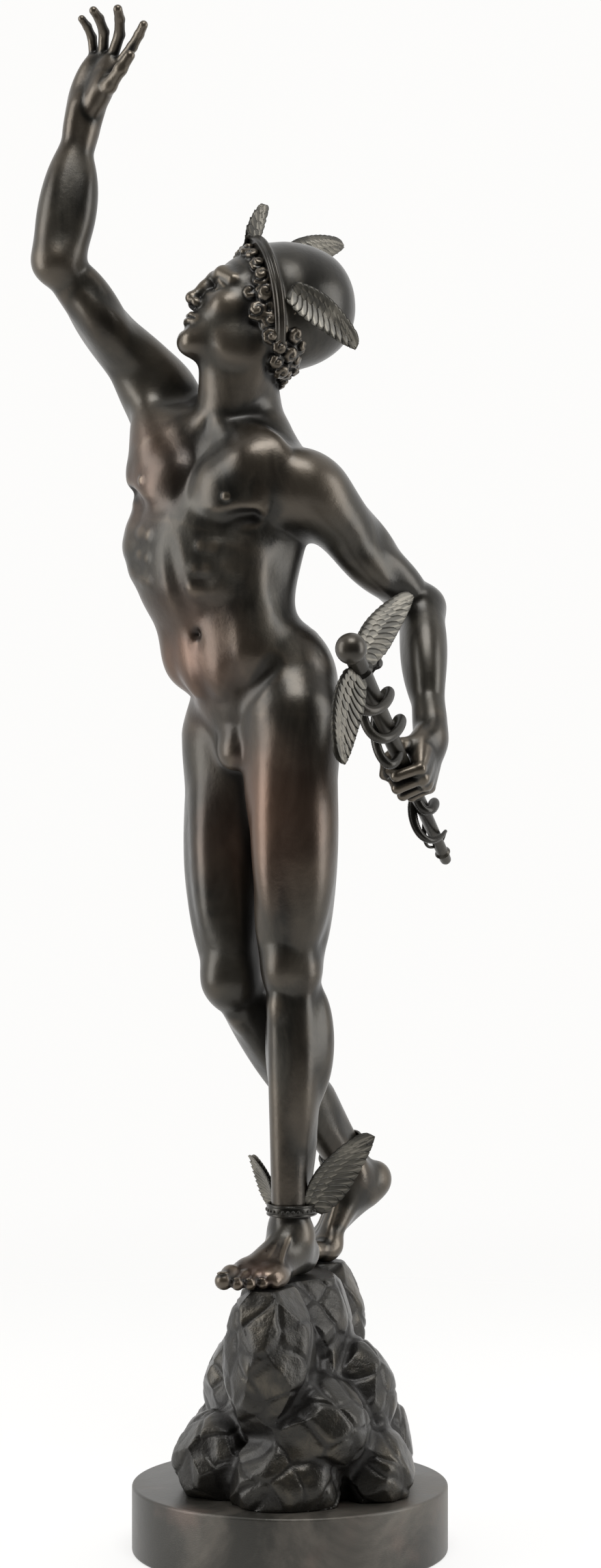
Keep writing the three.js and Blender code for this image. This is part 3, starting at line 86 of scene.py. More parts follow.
class Wire:
    """What comes out of a node. Sums and products of wires add their Math nodes."""

    def __init__(self, works, socket):
        self.works = works
        self.socket = socket

    def __add__(self, other):
        return self.works.math("ADD", self, other)

    def __radd__(self, other):
        return self.works.math("ADD", other, self)

    def __sub__(self, other):
        return self.works.math("SUBTRACT", self, other)

    def __rsub__(self, other):
        return self.works.math("SUBTRACT", other, self)

    def __mul__(self, other):
        return self.works.math("MULTIPLY", self, other)

    def __rmul__(self, other):
        return self.works.math("MULTIPLY", other, self)

    def __truediv__(self, other):
        return self.works.math("DIVIDE", self, other)

    def __pow__(self, other):
        return self.works.math("POWER", self, other)


class Works:
    """A node tree that is built node by node."""

    def __init__(self, tree):
        self.tree = tree

    def node(self, kind, settings=None, sockets=None, output=0):
        made = self.tree.nodes.new(kind)
        for name, value in (settings or {}).items():
            setattr(made, name, value)
        for key, value in (sockets or {}).items():
            if isinstance(value, Wire):
                self.tree.links.new(value.socket, made.inputs[key])
            else:
                made.inputs[key].default_value = value
        return Wire(self, made.outputs[output]) if made.outputs else made

    def math(self, operation, first, second=0.0):
        return self.node("ShaderNodeMath", {"operation": operation}, {0: first, 1: second})

    def ease(self, value, low, high, to_low=0.0, to_high=1.0):
        """A smooth step from one value to another as the wire goes from low to high."""
        return self.node(
            "ShaderNodeMapRange",
            {"interpolation_type": "SMOOTHSTEP"},
            {0: value, 1: low, 2: high, 3: to_low, 4: to_high},
        )

    def mixed(self, share, first, second):
        return self.node("ShaderNodeMix", {"data_type": "RGBA"}, {0: share, 6: first, 7: second}, 2)


PALE = (0.98, 0.975, 0.965, 1)
world = bpy.data.worlds.new("white_cove")
scene.world = world
world.use_nodes = True
world.node_tree.nodes.clear()
cove = Works(world.node_tree)
direction = cove.node("ShaderNodeTexCoord")
split = cove.node("ShaderNodeSeparateXYZ", None, {0: direction})
along_view = Wire(cove, split.socket.node.outputs[1])
glow = cove.ease(along_view, -0.6, 0.35, 0.04, 1.0)
light = cove.node("ShaderNodeBackground", None, {0: PALE, 1: glow})
plain = cove.node("ShaderNodeBackground", None, {0: PALE, 1: 1.0})
seen = cove.node("ShaderNodeLightPath")
either = cove.node("ShaderNodeMixShader", None, {0: seen, 1: light, 2: plain})
cove.node("ShaderNodeOutputWorld", None, {0: either})

LAMPS = [
    # name, place, width, height, power
    ("window_left", (-1.4, -0.35, 0.75), 0.7, 1.6, 18),
    ("window_right", (1.4, -0.3, 0.7), 0.6, 1.5, 15),
    ("overhead", (0.1, -0.8, 1.9), 0.9, 0.7, 20),
]
AIM = Vector((-0.02, 0, 0.5))
for name, place, width, height, power in LAMPS:
    lamp = bpy.data.lights.new(name, "AREA")
    lamp.shape = "RECTANGLE"
    lamp.size = width
    lamp.size_y = height
    lamp.energy = power
    lamp_object = bpy.data.objects.new(name, lamp)
    lamp_object.location = place
    lamp_object.rotation_euler = (AIM - Vector(place)).to_track_quat("-Z", "Y").to_euler()
    lamp_object.visible_camera = False
    scene.collection.objects.link(lamp_object)


def piece_from(name, points, faces, smooth=True):
    """An object of its own from points in metres and faces that all have as many corners."""
    mesh = bpy.data.meshes.new(name)
    faces = np.asarray(faces, dtype=np.int32)
    mesh.vertices.add(len(points))
    mesh.vertices.foreach_set("co", np.asarray(points, dtype=np.float32).ravel())
    mesh.loops.add(faces.size)
    mesh.loops.foreach_set("vertex_index", faces.ravel())
    mesh.polygons.add(len(faces))
    mesh.polygons.foreach_set("loop_start", np.arange(0, faces.size, faces.shape[1], dtype=np.int32))
    mesh.update(calc_edges=True)
    if smooth:
        mesh.shade_smooth()
    made = bpy.data.objects.new(name, mesh)
    scene.collection.objects.link(made)
    return made


# The floor is a pale sheet of paper that fades into the cove some way out.
FLOOR_RADIUS = 1.6
turns = np.linspace(0, 2 * math.pi, 96, endpoint=False)
floor_rim = np.stack([FLOOR_RADIUS * np.cos(turns), FLOOR_RADIUS * np.sin(turns), 0 * turns], 1)
floor_faces = [[len(turns), i, (i + 1) % len(turns)] for i in range(len(turns))]
floor = piece_from("paper_floor", np.vstack([floor_rim, [[0, 0, 0]]]), floor_faces)
paper = bpy.data.materials.new("white_paper")
paper.use_nodes = True
paper.node_tree.nodes.clear()
sheet = Works(paper.node_tree)
spot = sheet.node("ShaderNodeTexCoord", None, None, 3)
out = sheet.node("ShaderNodeVectorMath", {"operation": "LENGTH"}, {0: spot}, 1)
fade = sheet.ease(out, 0.3 * FLOOR_RADIUS, 0.95 * FLOOR_RADIUS)
matt = sheet.node("ShaderNodeBsdfDiffuse", None, {0: (0.92, 0.92, 0.915, 1)})
shine = sheet.node("ShaderNodeEmission", None, {0: PALE, 1: 1.0})
matt = sheet.node("ShaderNodeMixShader", None, {0: 0.7, 1: matt, 2: shine})
clear = sheet.node("ShaderNodeBsdfTransparent")
sheet.node("ShaderNodeOutputMaterial", None, {0: sheet.node("ShaderNodeMixShader", None, {0: fade, 1: matt, 2: clear})})
floor.data.materials.append(paper)


# The plinth is a plain turned drum of bronze with softened edges. Its dark grey-brown patina is
# satin, clouded where it was handled and waxed, with a fine turned grain on its top.
class Bronze(Works):
    """A patinated bronze. The dark skin turns warm where it is rubbed, and duller in the hollows, which are darkened
    with painted shade.
    """

    def __init__(self, name, metallic=0.75, coat=0.25, coat_roughness=0.18):
        self.material = bpy.data.materials.new(name)
        self.material.use_nodes = True
        super().__init__(self.material.node_tree)
        self.tree.nodes.clear()
        self.shader = self.tree.nodes.new("ShaderNodeBsdfPrincipled")
        self.shader.inputs["Metallic"].default_value = metallic
        self.shader.inputs["Coat Weight"].default_value = coat
        self.shader.inputs["Coat Roughness"].default_value = coat_roughness
        end = self.tree.nodes.new("ShaderNodeOutputMaterial")
        self.tree.links.new(self.shader.outputs[0], end.inputs[0])
        self.place = self.node("ShaderNodeTexCoord", None, None, 3)

    def cloud(self, scale, detail=3.0, roughness=0.55, distortion=0.0, stretch=(1, 1, 1)):
        where = self.node("ShaderNodeMapping", None, {0: self.place, 3: stretch})
        sockets = {"Vector": where, "Scale": scale, "Detail": detail, "Roughness": roughness}
        sockets["Distortion"] = distortion
        return self.node("ShaderNodeTexNoise", None, sockets)

    def close_to(self, place, reach):
        """Falls from one at a place to nothing at its reach. Lengths are in metres."""
        away = self.node("ShaderNodeVectorMath", {"operation": "DISTANCE"}, {0: self.place, 1: place}, 1)
        return self.ease(away, 0, reach, 1, 0)

    def feed(self, socket, wire):
        self.tree.links.new(wire.socket, self.shader.inputs[socket])

    def bumped(self, height, depth, strength=1.0):
        """The height is from 0 to 1, and the depth of the relief is in metres."""
        bump = self.node("ShaderNodeBump", None, {"Height": height, "Distance": depth, "Strength": strength})
        self.feed("Normal", bump)


def lathe(name, profile, steps):
    """Turns a profile of (radius, height) pairs, which starts and ends on the axis."""
    ring = np.linspace(0, 2 * math.pi, steps, endpoint=False)
    inner = profile[1:-1]
    points = [[r * math.cos(a), r * math.sin(a), z] for r, z in inner for a in ring]
    points += [[0, 0, profile[0][1]], [0, 0, profile[-1][1]]]
    last = (len(inner) - 1) * steps
    faces = []
    for i in range(steps):
        j = (i + 1) % steps
        for k in range(0, last, steps):
            faces.append([k + i, k + j, k + steps + j, k + steps + i])
        faces.append([len(points) - 2, j, i])
        faces.append([len(points) - 1, last + i, last + j])
    mesh = bpy.data.meshes.new(name)
    mesh.from_pydata(points, [], faces)
    mesh.shade_smooth()
    mesh.set_sharp_from_angle(angle=math.radians(35))
    made = bpy.data.objects.new(name, mesh)
    scene.collection.objects.link(made)
    return made


def rounded(corners, radius, steps=6):
    """A profile with its inner corners rounded to a radius."""
    path = [corners[0]]
    for before, corner, after in zip(corners, corners[1:], corners[2:]):
        b, c, a = (Vector(p) for p in (before, corner, after))
        inward, onward = (b - c).normalized() * radius, (a - c).normalized() * radius
        for k in range(steps + 1):
            t = k / steps
            path.append(tuple(c + inward * (1 - t) ** 2 + onward * t**2))
    return path + [corners[-1]]


plinth_low, plinth_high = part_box("plinth")
plinth_radius = (plinth_high.x - plinth_low.x) / 2
plinth_height = plinth_high.z
TURNED_STEP = 0.0004
drum_profile = rounded(
    [(0, 0), (plinth_radius, 0), (plinth_radius, plinth_height), (0, plinth_height)], 0.0018
)
drum = lathe("plinth_drum", drum_profile, 192)

grey = Bronze("clouded_grey_bronze", metallic=0.55, coat=0.2, coat_roughness=0.3)
clouds = grey.cloud(14, 5, 0.62, 0.6)
marks = grey.cloud(60, 4, 0.7)
veil = grey.ease(clouds, 0.42, 0.72)
base = grey.mixed(veil, (0.032, 0.030, 0.025, 1), (0.11, 0.098, 0.082, 1))
pink = grey.ease(grey.cloud(22, 3, 0.5), 0.56, 0.78) * 0.45
base = grey.mixed(pink, base, (0.15, 0.10, 0.08, 1))
grey.feed("Base Color", base)
grey.feed("Roughness", 0.36 + 0.16 * veil + 0.1 * marks)
grain = grey.cloud(500, 2, 0.5, 0.0, (1, 1, 6))
grey.bumped(0.6 * marks + 0.4 * grain, 0.00025)
drum.data.materials.append(grey.material)
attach(drum, "root")
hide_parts("plinth")


# The mound is a rough heap of rounded rocks, cast in one and standing on the drum, with a flat
# seat for the feet. It is built as clay, from swells that melt into each other.
def unit(v):
    v = np.asarray(v, dtype=float)
    return v / np.linalg.norm(v)


class Frame:
    """A body frame: side points to the figure's right, front ahead, and up along the body."""

    def __init__(self, origin, up, front, size=1.0):
        self.origin = np.asarray(origin, dtype=float)
        self.up = unit(up)
        self.side = unit(np.cross(front, self.up))
        self.front = np.cross(self.up, self.side)
        self.size = size

    def at(self, x, y, z):
        return self.origin + self.size * (x * self.side + y * self.front + z * self.up)


class Taper:
    """A lump of clay along a line, from one radius to another."""

    def __init__(self, start, end, radius_start, radius_end, blend=0.01, carves=False):
        self.start, self.way = start, end - start
        self.length_squared = max(float(self.way @ self.way), 1e-12)
        self.radii = radius_start, radius_end
        self.centre = (start + end) / 2
        self.reach = math.sqrt(self.length_squared) / 2 + max(radius_start, radius_end)
        self.blend, self.carves = blend, carves

    def distance(self, points):
        off = points - self.start
        t = np.clip(off @ self.way / self.length_squared, 0, 1)
        off -= t[:, None] * self.way
        radius = self.radii[0] + (self.radii[1] - self.radii[0]) * t
        return np.sqrt(np.einsum("ij,ij->i", off, off)) - radius


class Swell:
    """A lump of clay with three half widths, in a frame."""

    def __init__(self, frame, place, radii, blend=0.01, carves=False):
        self.centre = frame.at(*place)
        self.radii = np.array(radii) * frame.size
        self.axes = np.array([frame.side, frame.front, frame.up]).T / self.radii
        self.reach = float(self.radii.max())
        self.blend, self.carves = blend, carves

    def distance(self, points):
        q = (points - self.centre) @ self.axes
        k0 = np.sqrt(np.einsum("ij,ij->i", q, q))
        q /= self.radii
        k1 = np.sqrt(np.einsum("ij,ij->i", q, q))
        return k0 * (k0 - 1) / np.maximum(k1, 1e-9)


def depth_in_groups(clay, points, first, count, centres, radius):
    """How far points are from the clay's skin, for groups of points round their centres."""
    result = np.ones(len(points))
    for lump in clay:
        away = np.linalg.norm(centres - lump.centre, axis=1)
        near = np.flatnonzero(away < lump.reach + radius + lump.blend)
        if not near.size:
            continue
        sizes = count[near]
        ahead = np.concatenate([[0], np.cumsum(sizes)[:-1]])
        index = np.repeat(first[near] - ahead, sizes) + np.arange(sizes.sum())
        a = result[index]
        if lump.carves:
            a = -a
        b = lump.distance(points[index])
        h = np.maximum(lump.blend - np.abs(a - b), 0)
        a = np.minimum(a, b) - h * h / (4 * lump.blend)
        result[index] = -a if lump.carves else a
    return result


def depth(clay, points, room):
    """The same for any points, which are sorted into boxes first."""
    box = np.floor(points / room).astype(np.int64)
    box -= box.min(0)
    key = (box[:, 0] * 100000 + box[:, 1]) * 100000 + box[:, 2]
    order = np.argsort(key, kind="stable")
    _, first, count = np.unique(key[order], return_index=True, return_counts=True)
    sorted_points = points[order]
    centres = (np.floor(sorted_points[first] / room) + 0.5) * room
    result = np.empty(len(points))
    result[order] = depth_in_groups(clay, sorted_points, first, count, centres, 1.2 * room)
    return result


def slope(clay, points, step, room):
    """The gradient of the depth, from four points round each."""
    corners = np.array([[1, -1, -1], [-1, -1, 1], [-1, 1, -1], [1, 1, 1]])
    total = np.zeros_like(points)
    for corner in corners:
        total += depth(clay, points + corner * step, room)[:, None] * corner
    return total / (4 * step)


BLOCK = 8


def skinned(clay, cell, low, high):
    """The clay's skin as points and faces of four corners, one point for each cell it crosses."""
    room = BLOCK * cell
    counts = np.ceil((high - low) / room).astype(int)
    blocks = np.stack(np.meshgrid(*[np.arange(n) for n in counts], indexing="ij"), -1).reshape(-1, 3)
    blocks = blocks[np.abs(depth(clay, low + (blocks + 0.5) * room, 4 * room)) < 1.9 * room]
    span = np.arange(BLOCK + 1)
    offsets = np.stack(np.meshgrid(span, span, span, indexing="ij"), -1).reshape(-1, 3)
    nodes_each = len(offsets)
    row = counts * BLOCK + 4
    starts, places = [], []
    for some in np.array_split(blocks, max(1, len(blocks) // 1500)):
        nodes = (some[:, None, :] * BLOCK + offsets[None]).reshape(-1, 3)
        first = np.arange(len(some)) * nodes_each
        count = np.full(len(some), nodes_each)
        centres = low + (some + 0.5) * room
        values = depth_in_groups(clay, low + nodes * cell, first, count, centres, 0.87 * room + 2 * cell)
        values = values.reshape(-1, BLOCK + 1, BLOCK + 1, BLOCK + 1)
        inner = values[:, :BLOCK, :BLOCK, :BLOCK]
        for axis in range(3):
            onward = [slice(None)] + [slice(1, None) if a == axis else slice(0, BLOCK) for a in range(3)]
            beyond = values[tuple(onward)]
            crossing = np.argwhere((inner < 0) != (beyond < 0))
            b, place = crossing[:, 0], crossing[:, 1:]
            here = inner[tuple(crossing.T)]
            there = beyond[tuple(crossing.T)]
            starts.append(np.column_stack([some[b] * BLOCK + place, np.full(len(b), axis), here < 0]))
            places.append(here / (here - there))
    edges = np.concatenate(starts)
    shares = np.concatenate(places)
    edges, unique = np.unique(edges, axis=0, return_index=True)
    shares = shares[unique]
    where = edges[:, :3].astype(float)
    axis = edges[:, 3]
    where[np.arange(len(edges)), axis] += shares
    rings = np.array([[[0, 0, 0], [0, -1, 0], [0, -1, -1], [0, 0, -1]],
                      [[0, 0, 0], [0, 0, -1], [-1, 0, -1], [-1, 0, 0]],
                      [[0, 0, 0], [-1, 0, 0], [-1, -1, 0], [0, -1, 0]]])
    cells = edges[:, None, :3] + rings[axis]
    keys = ((cells[..., 0] + 1) * row[1] + cells[..., 1] + 1) * row[2] + cells[..., 2] + 1
    found, faces = np.unique(keys, return_inverse=True)
    faces = faces.reshape(-1, 4)
    points = np.zeros((len(found), 3))
    for corner in range(4):
        for k in range(3):
            points[:, k] += np.bincount(faces[:, corner], where[:, k], len(found))
    points /= np.bincount(faces.ravel(), minlength=len(found))[:, None]
    inside = edges[:, 4] == 1
    faces[~inside] = faces[~inside][:, ::-1]
    return low + points * cell, faces


def settled(clay, points, faces, cell, rounds=2):
    """Evens out the points and drops them back on the clay's skin."""
    room = 6 * cell
    for turn in range(rounds):
        if faces is not None:
            total = np.zeros_like(points)
            number = np.zeros(len(points))
            for a, b in zip(faces.T, np.roll(faces, -1, 1).T):
                for k in range(3):
                    total[:, k] += np.bincount(a, points[b, k], len(points))
                number += np.bincount(a, minlength=len(points))
            points = points + 0.6 * (total / number[:, None] - points)
        grade = slope(clay, points, 0.3 * cell, room)
        steep = np.maximum(np.einsum("ij,ij->i", grade, grade), 0.05)
        drop = np.clip(depth(clay, points, room) / steep, -0.7 * cell, 0.7 * cell)
        points = points - drop[:, None] * grade
    return points


def thinned(name, points, faces, target):
    """Closes the skin, and joins the edges of its flattest places until the target is left."""
    made = piece_from(name, points, faces)
    work = bmesh.new()
    work.from_mesh(made.data)
    rims = [edge for edge in work.edges if edge.is_boundary]
    filled = bmesh.ops.holes_fill(work, edges=rims, sides=0)["faces"]
    bmesh.ops.recalc_face_normals(work, faces=work.faces)
    bmesh.ops.triangulate(work, faces=[face for face in filled if len(face.verts) > 4])
    work.to_mesh(made.data)
    work.free()
    thin = made.modifiers.new("thin", "DECIMATE")
    thin.ratio = min(1.0, target / (2 * len(faces)))
    settled_mesh = bpy.data.meshes.new_from_object(made.evaluated_get(bpy.context.evaluated_depsgraph_get()))
    made.modifiers.remove(thin)
    made.data = settled_mesh
    made.data.shade_smooth()
    return made


def corners_of(made):
    points = np.empty(len(made.data.vertices) * 3)
    made.data.vertices.foreach_get("co", points)
    return points.reshape(-1, 3)


def stored(made, name, values):
    """Keeps a number for each point of a mesh, for its material to read."""
    layer = made.data.attributes.new(name, "FLOAT", "POINT")
    layer.data.foreach_set("value", np.asarray(values, dtype=np.float32))


def relief(clay, points, scale):
    """How closed in and how worn each point is, from the clay round it. The scale is not used."""
    step = 0.0035
    room = 0.02
    way = slope(clay, points, 0.0006, room)
    way /= np.maximum(np.linalg.norm(way, axis=1), 1e-6)[:, None]
    # The painted shade is an ambient occlusion: it looks out along the normal for clay, and the materials darken the
    # colour by it.
    painted_shade = np.zeros(len(points))
    for reach, weight in ((0.004, 0.5), (0.009, 0.4), (0.02, 0.35)):
        painted_shade += weight * np.clip(1 - depth(clay, points + way * reach, room) / reach, 0, 1)
    bend = -6 * depth(clay, points, room)
    for k in range(3):
        for sign in (1, -1):
            bend += depth(clay, points + sign * step * np.eye(3)[k], room)
    worn = np.clip(bend / step**2 / 160, -1, 1)
    return np.clip(painted_shade, 0, 1), worn


FINE = 1.0
mound_low, mound_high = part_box("mound")
mound_radius = 0.081
mound_height = mound_high.z - mound_low.z
class Boulder(Swell):
    """A swell with flat chips struck off it. Their ways follow a spiral that the turn sets off."""

    def __init__(self, frame, place, radii, blend, turn, chips=19):
        super().__init__(frame, place, radii, blend)
        count = np.arange(chips)
        height = 0.72 - 1.6 * count / chips
        angle = turn + count * math.radians(137.5)
        flat = np.sqrt(1 - height**2)
        self.ways = np.stack([flat * np.cos(angle), flat * np.sin(angle), height], 1)
        share = 0.86 + 0.1 * ((count * 0.618 + turn) % 1)
        self.cuts = share * np.linalg.norm(self.ways * self.radii, axis=1)

    def distance(self, points):
        swell = super().distance(points)
        chips = ((points - self.centre) @ self.ways.T - self.cuts).max(axis=1)
        h = np.maximum(0.0024 - np.abs(swell - chips), 0)
        return np.maximum(swell, chips) + h * h / 0.0096


# Each rock has its place and its half widths, in shares of the mound's radius and of its height.
ROCKS = [
    (0.06, 0.02, 0.1, 0.66, 0.82, 0.8),
    (0.06, 0.1, 0.5, 0.46, 0.7, 0.42),
    (-0.14, -0.58, 0.66, 0.34, 0.4, 0.44),
    (0.16, 0.6, 0.66, 0.4, 0.4, 0.44),
    (0.04, 0.04, 0.76, 0.42, 0.6, 0.34),
    (-0.3, 0.16, 0.44, 0.34, 0.42, 0.3),
    (0.44, -0.1, 0.42, 0.32, 0.42, 0.3),
    (0.16, -0.56, 0.34, 0.42, 0.4, 0.26),
    (-0.48, -0.3, 0.14, 0.36, 0.42, 0.26),
    (0.54, -0.36, 0.1, 0.34, 0.38, 0.24),
    (0.58, 0.26, 0.14, 0.32, 0.42, 0.28),
    (-0.42, 0.42, 0.12, 0.36, 0.4, 0.26),
    (-0.04, -0.7, 0.08, 0.42, 0.28, 0.28),
    (0.1, 0.68, 0.12, 0.44, 0.28, 0.34),
]
upright = Frame((0, 0, 0), (0, 0, 1), (0, -1, 0))
rock_clay = [
    Boulder(
        upright,
        (-x * mound_radius, -y * mound_radius, z * mound_height),
        (rx * mound_radius, ry * mound_radius, rz * mound_height),
        0.0072 if i == 0 else 0.0025,
        1.7 * i,
    )
    for i, (x, y, z, rx, ry, rz) in enumerate(ROCKS)
]
mound_cell = 0.0014 * FINE
rock_points, rock_faces = skinned(
    rock_clay,
    mound_cell,
    np.array([-0.1, -0.1, -0.02]),
    np.array([0.1, 0.1, 0.14]),
)
rock_points = settled(rock_clay, rock_points, rock_faces, mound_cell)


def rock_grain(point):
    """How far the rock lies back at a point: cracks, chipped faces and a fine grain."""
    p = Vector(point)
    near = noise.voronoi(p * 42 + noise.noise_vector(p * 30) * 0.5)[0]
    crack = max(0.0, 1 - (near[1] - near[0]) * 6)
    chips = noise.fractal(p * 95, 1.0, 2.1, 3)
    swell = noise.noise(p * 28)
    return 0.0011 * crack + 0.0007 * (0.5 - 0.5 * chips) + 0.0012 * (0.5 + 0.5 * swell)


rock_way = slope(rock_clay, rock_points, 0.0005, 0.02)
rock_back = np.array([rock_grain(p) for p in rock_points])
rock_points -= rock_way * rock_back[:, None]
rock_top = mound_height
rock_points[:, 2] = np.clip(rock_points[:, 2], 0, rock_top)
rock_points[:, 2] += mound_low.z
rocks = thinned("rock_mound", rock_points, rock_faces, 90000)
stored(rocks, "painted_shade", np.clip(relief(rock_clay, corners_of(rocks) - [0, 0, mound_low.z], 1)[0], 0, 1))

stone = Bronze("rough_cast_bronze", metallic=0.65, coat=0.2, coat_roughness=0.3)
painted_shade = stone.node("ShaderNodeAttribute", {"attribute_name": "painted_shade"}, None, 2)
mottle = stone.cloud(45, 5, 0.6, 0.4)
rub = stone.ease(mottle, 0.45, 0.75) * (1 - stone.ease(painted_shade, 0.05, 0.4))
tint = stone.mixed(rub, (0.022, 0.020, 0.016, 1), (0.10, 0.085, 0.062, 1))
# Painted shade: the rock turns near black where the clay closes round it.
tint = stone.mixed(stone.ease(painted_shade, 0.1, 0.6), tint, (0.008, 0.007, 0.006, 1))
stone.feed("Base Color", tint)
stone.feed("Roughness", 0.24 + 0.28 * painted_shade + 0.12 * stone.cloud(120, 3))
stone.bumped(0.7 * stone.cloud(220, 4, 0.65) + 0.3 * stone.cloud(700, 2), 0.0006)
rocks.data.materials.append(stone.material)
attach(rocks, "root")
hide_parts("mound")


# The figure is one hollow casting, chased and waxed: a youth who steps up with one arm raised.
# It is built as clay in shares of its stature, with the ground under the feet at zero.
STATURE = 0.6
SEAT_GAP = 0.0003
footing = mound_high.z + SEAT_GAP


def vec(x, y, z):
    return np.array([x, y, z], dtype=float)


def facing(degrees, rise=0.0):
    turn = math.radians(degrees)
    return vec(-math.sin(turn), -math.cos(turn), rise)


def limb_frame(lower, upper, front):
    made = Frame(lower, upper - lower, front)
    made.length = float(np.linalg.norm(upper - lower))
    return made


def hinge(start, end, bone_start, bone_end, towards):
    """The joint between two bones that meet on the side that the limb bends to."""
    way = end - start
    span = float(np.linalg.norm(way))
    way = way / span
    along = (span**2 + bone_start**2 - bone_end**2) / (2 * span)
    off = math.sqrt(max(bone_start**2 - along**2, 0))
    return start + way * along + unit(towards - (towards @ way) * way) * off


pelvis = Frame((-0.029, 0.01, 0.53), (-0.2, 0.06, 1), facing(50))
waist = Frame((-0.058, 0.004, 0.62), (-0.06, 0.01, 1), facing(42))
chest = Frame((-0.079, -0.002, 0.712), (0.26, 0.02, 1), facing(34))
head = Frame((-0.035, -0.02, 0.908), (0.54, 0.24, 1), facing(73), 1.08)

THIGH, SHIN, UPPER_ARM, FOREARM = 0.236, 0.248, 0.178, 0.149


class Limbs:
    """One side of the body: where its joints are, and how its limbs are turned."""

    def __init__(self, out, hip, ankle, knee_front, toes_out, ball, shoulder, wrist, elbow_out, upper_front, lower_front):
        self.out, self.hip, self.ankle, self.ball = out, hip, ankle, ball
        self.knee_front, self.toes_out = knee_front, toes_out
        self.shoulder, self.wrist = shoulder, wrist
        self.upper_front, self.lower_front = upper_front, lower_front
        self.knee = hinge(hip, ankle, THIGH, SHIN, knee_front)
        self.elbow = hinge(shoulder, wrist, UPPER_ARM, FOREARM, elbow_out)


right = Limbs(
    out=1,
    hip=pelvis.at(0.048, 0, -0.008),
    ankle=vec(0.061, 0.118, 0.083),
    knee_front=facing(46, 0.2),
    toes_out=facing(52),
    ball=vec(0.029, 0.092, 0.013),
    shoulder=chest.at(0.09, -0.008, 0.104),
    wrist=vec(-0.195, 0.004, 1.108),
    elbow_out=vec(-0.8, -0.5, -0.3),
    upper_front=vec(-0.1, -1, 0.2),
    lower_front=vec(0.3, -1, 0),
)
left = Limbs(
    out=-1,
    hip=pelvis.at(-0.048, 0, -0.008),
    ankle=vec(0, -0.016, 0.04),
    knee_front=facing(36),
    toes_out=facing(28),
    ball=vec(-0.03, -0.076, 0.013),
    shoulder=chest.at(-0.089, -0.004, 0.051),
    wrist=vec(0.132, -0.05, 0.508),
    elbow_out=vec(0.6, 0.85, 0.1),
    upper_front=vec(-0.45, -0.9, -0.2),
    lower_front=vec(-0.9, -0.5, 0),
)


def leg_clay(limb):
    thigh = limb_frame(limb.knee, limb.hip, limb.knee_front)
    shin = limb_frame(limb.ankle, limb.knee, limb.knee_front)
    T, S, o = thigh.length, shin.length, limb.out
    return [
        # Thigh: the four heads in front, two cords behind, the inner mass and the hip.
        Taper(limb.knee, limb.hip, 0.0252, 0.046),
        Swell(thigh, (o * -0.001, 0.0165, T * 0.57), (0.0275, 0.0285, 0.112), 0.011),
        Swell(thigh, (o * 0.0235, 0.003, T * 0.54), (0.0225, 0.03, 0.102), 0.011),
        Swell(thigh, (o * 0.0155, 0.0105, T * 0.25), (0.0138, 0.0148, 0.046), 0.012),
        Swell(thigh, (o * -0.015, 0.0095, T * 0.2), (0.0152, 0.0168, 0.043), 0.012),
        Swell(thigh, (o * 0.0128, -0.02, T * 0.46), (0.0195, 0.0205, 0.105), 0.01),
        Swell(thigh, (o * -0.0125, -0.0185, T * 0.48), (0.018, 0.021, 0.105), 0.009),
        Swell(thigh, (o * -0.02, -0.001, T * 0.8), (0.0265, 0.035, 0.08), 0.012),
        Swell(thigh, (o * 0.012, 0, T * 0.92), (0.028, 0.036, 0.05), 0.014),
        # Knee, with its hollow behind.
        Swell(thigh, (0, 0.0176, 0.004), (0.0136, 0.0106, 0.017), 0.012),
        Swell(thigh, (0, -0.001, -0.001), (0.0258, 0.0216, 0.029), 0.016),
        Swell(thigh, (0, -0.038, -0.002), (0.012, 0.013, 0.03), 0.014, True),
        # Shin and calf.
        Taper(limb.ankle, limb.knee, 0.0155, 0.0222),
        Taper(shin.at(0, 0.007, S * 0.1), shin.at(o * -0.002, 0.0105, S * 0.86), 0.0098, 0.0138),
        Swell(shin, (0, 0.0155, S * 0.86), (0.0085, 0.0085, 0.015), 0.008),
        Swell(shin, (o * -0.0125, -0.018, S * 0.69), (0.0205, 0.0225, 0.062), 0.009),
        Swell(shin, (o * 0.013, -0.017, S * 0.72), (0.02, 0.021, 0.057), 0.009),
        Swell(shin, (0, -0.0115, S * 0.5), (0.0205, 0.018, 0.082), 0.01),
        Swell(shin, (o * 0.0145, 0.003, S * 0.66), (0.0135, 0.0165, 0.078), 0.01),
        Swell(shin, (o * -0.0155, -0.006, S * 0.72), (0.0125, 0.016, 0.05), 0.01),
        Taper(shin.at(0, -0.0185, S * 0.02), shin.at(0, -0.018, S * 0.34), 0.0068, 0.01, 0.012),
        Swell(shin, (o * 0.0135, -0.002, 0.001), (0.0078, 0.0095, 0.0125), 0.01),
        Swell(shin, (o * -0.0125, 0.001, 0.006), (0.0078, 0.0095, 0.0125), 0.01),
    ] + foot_clay(limb)


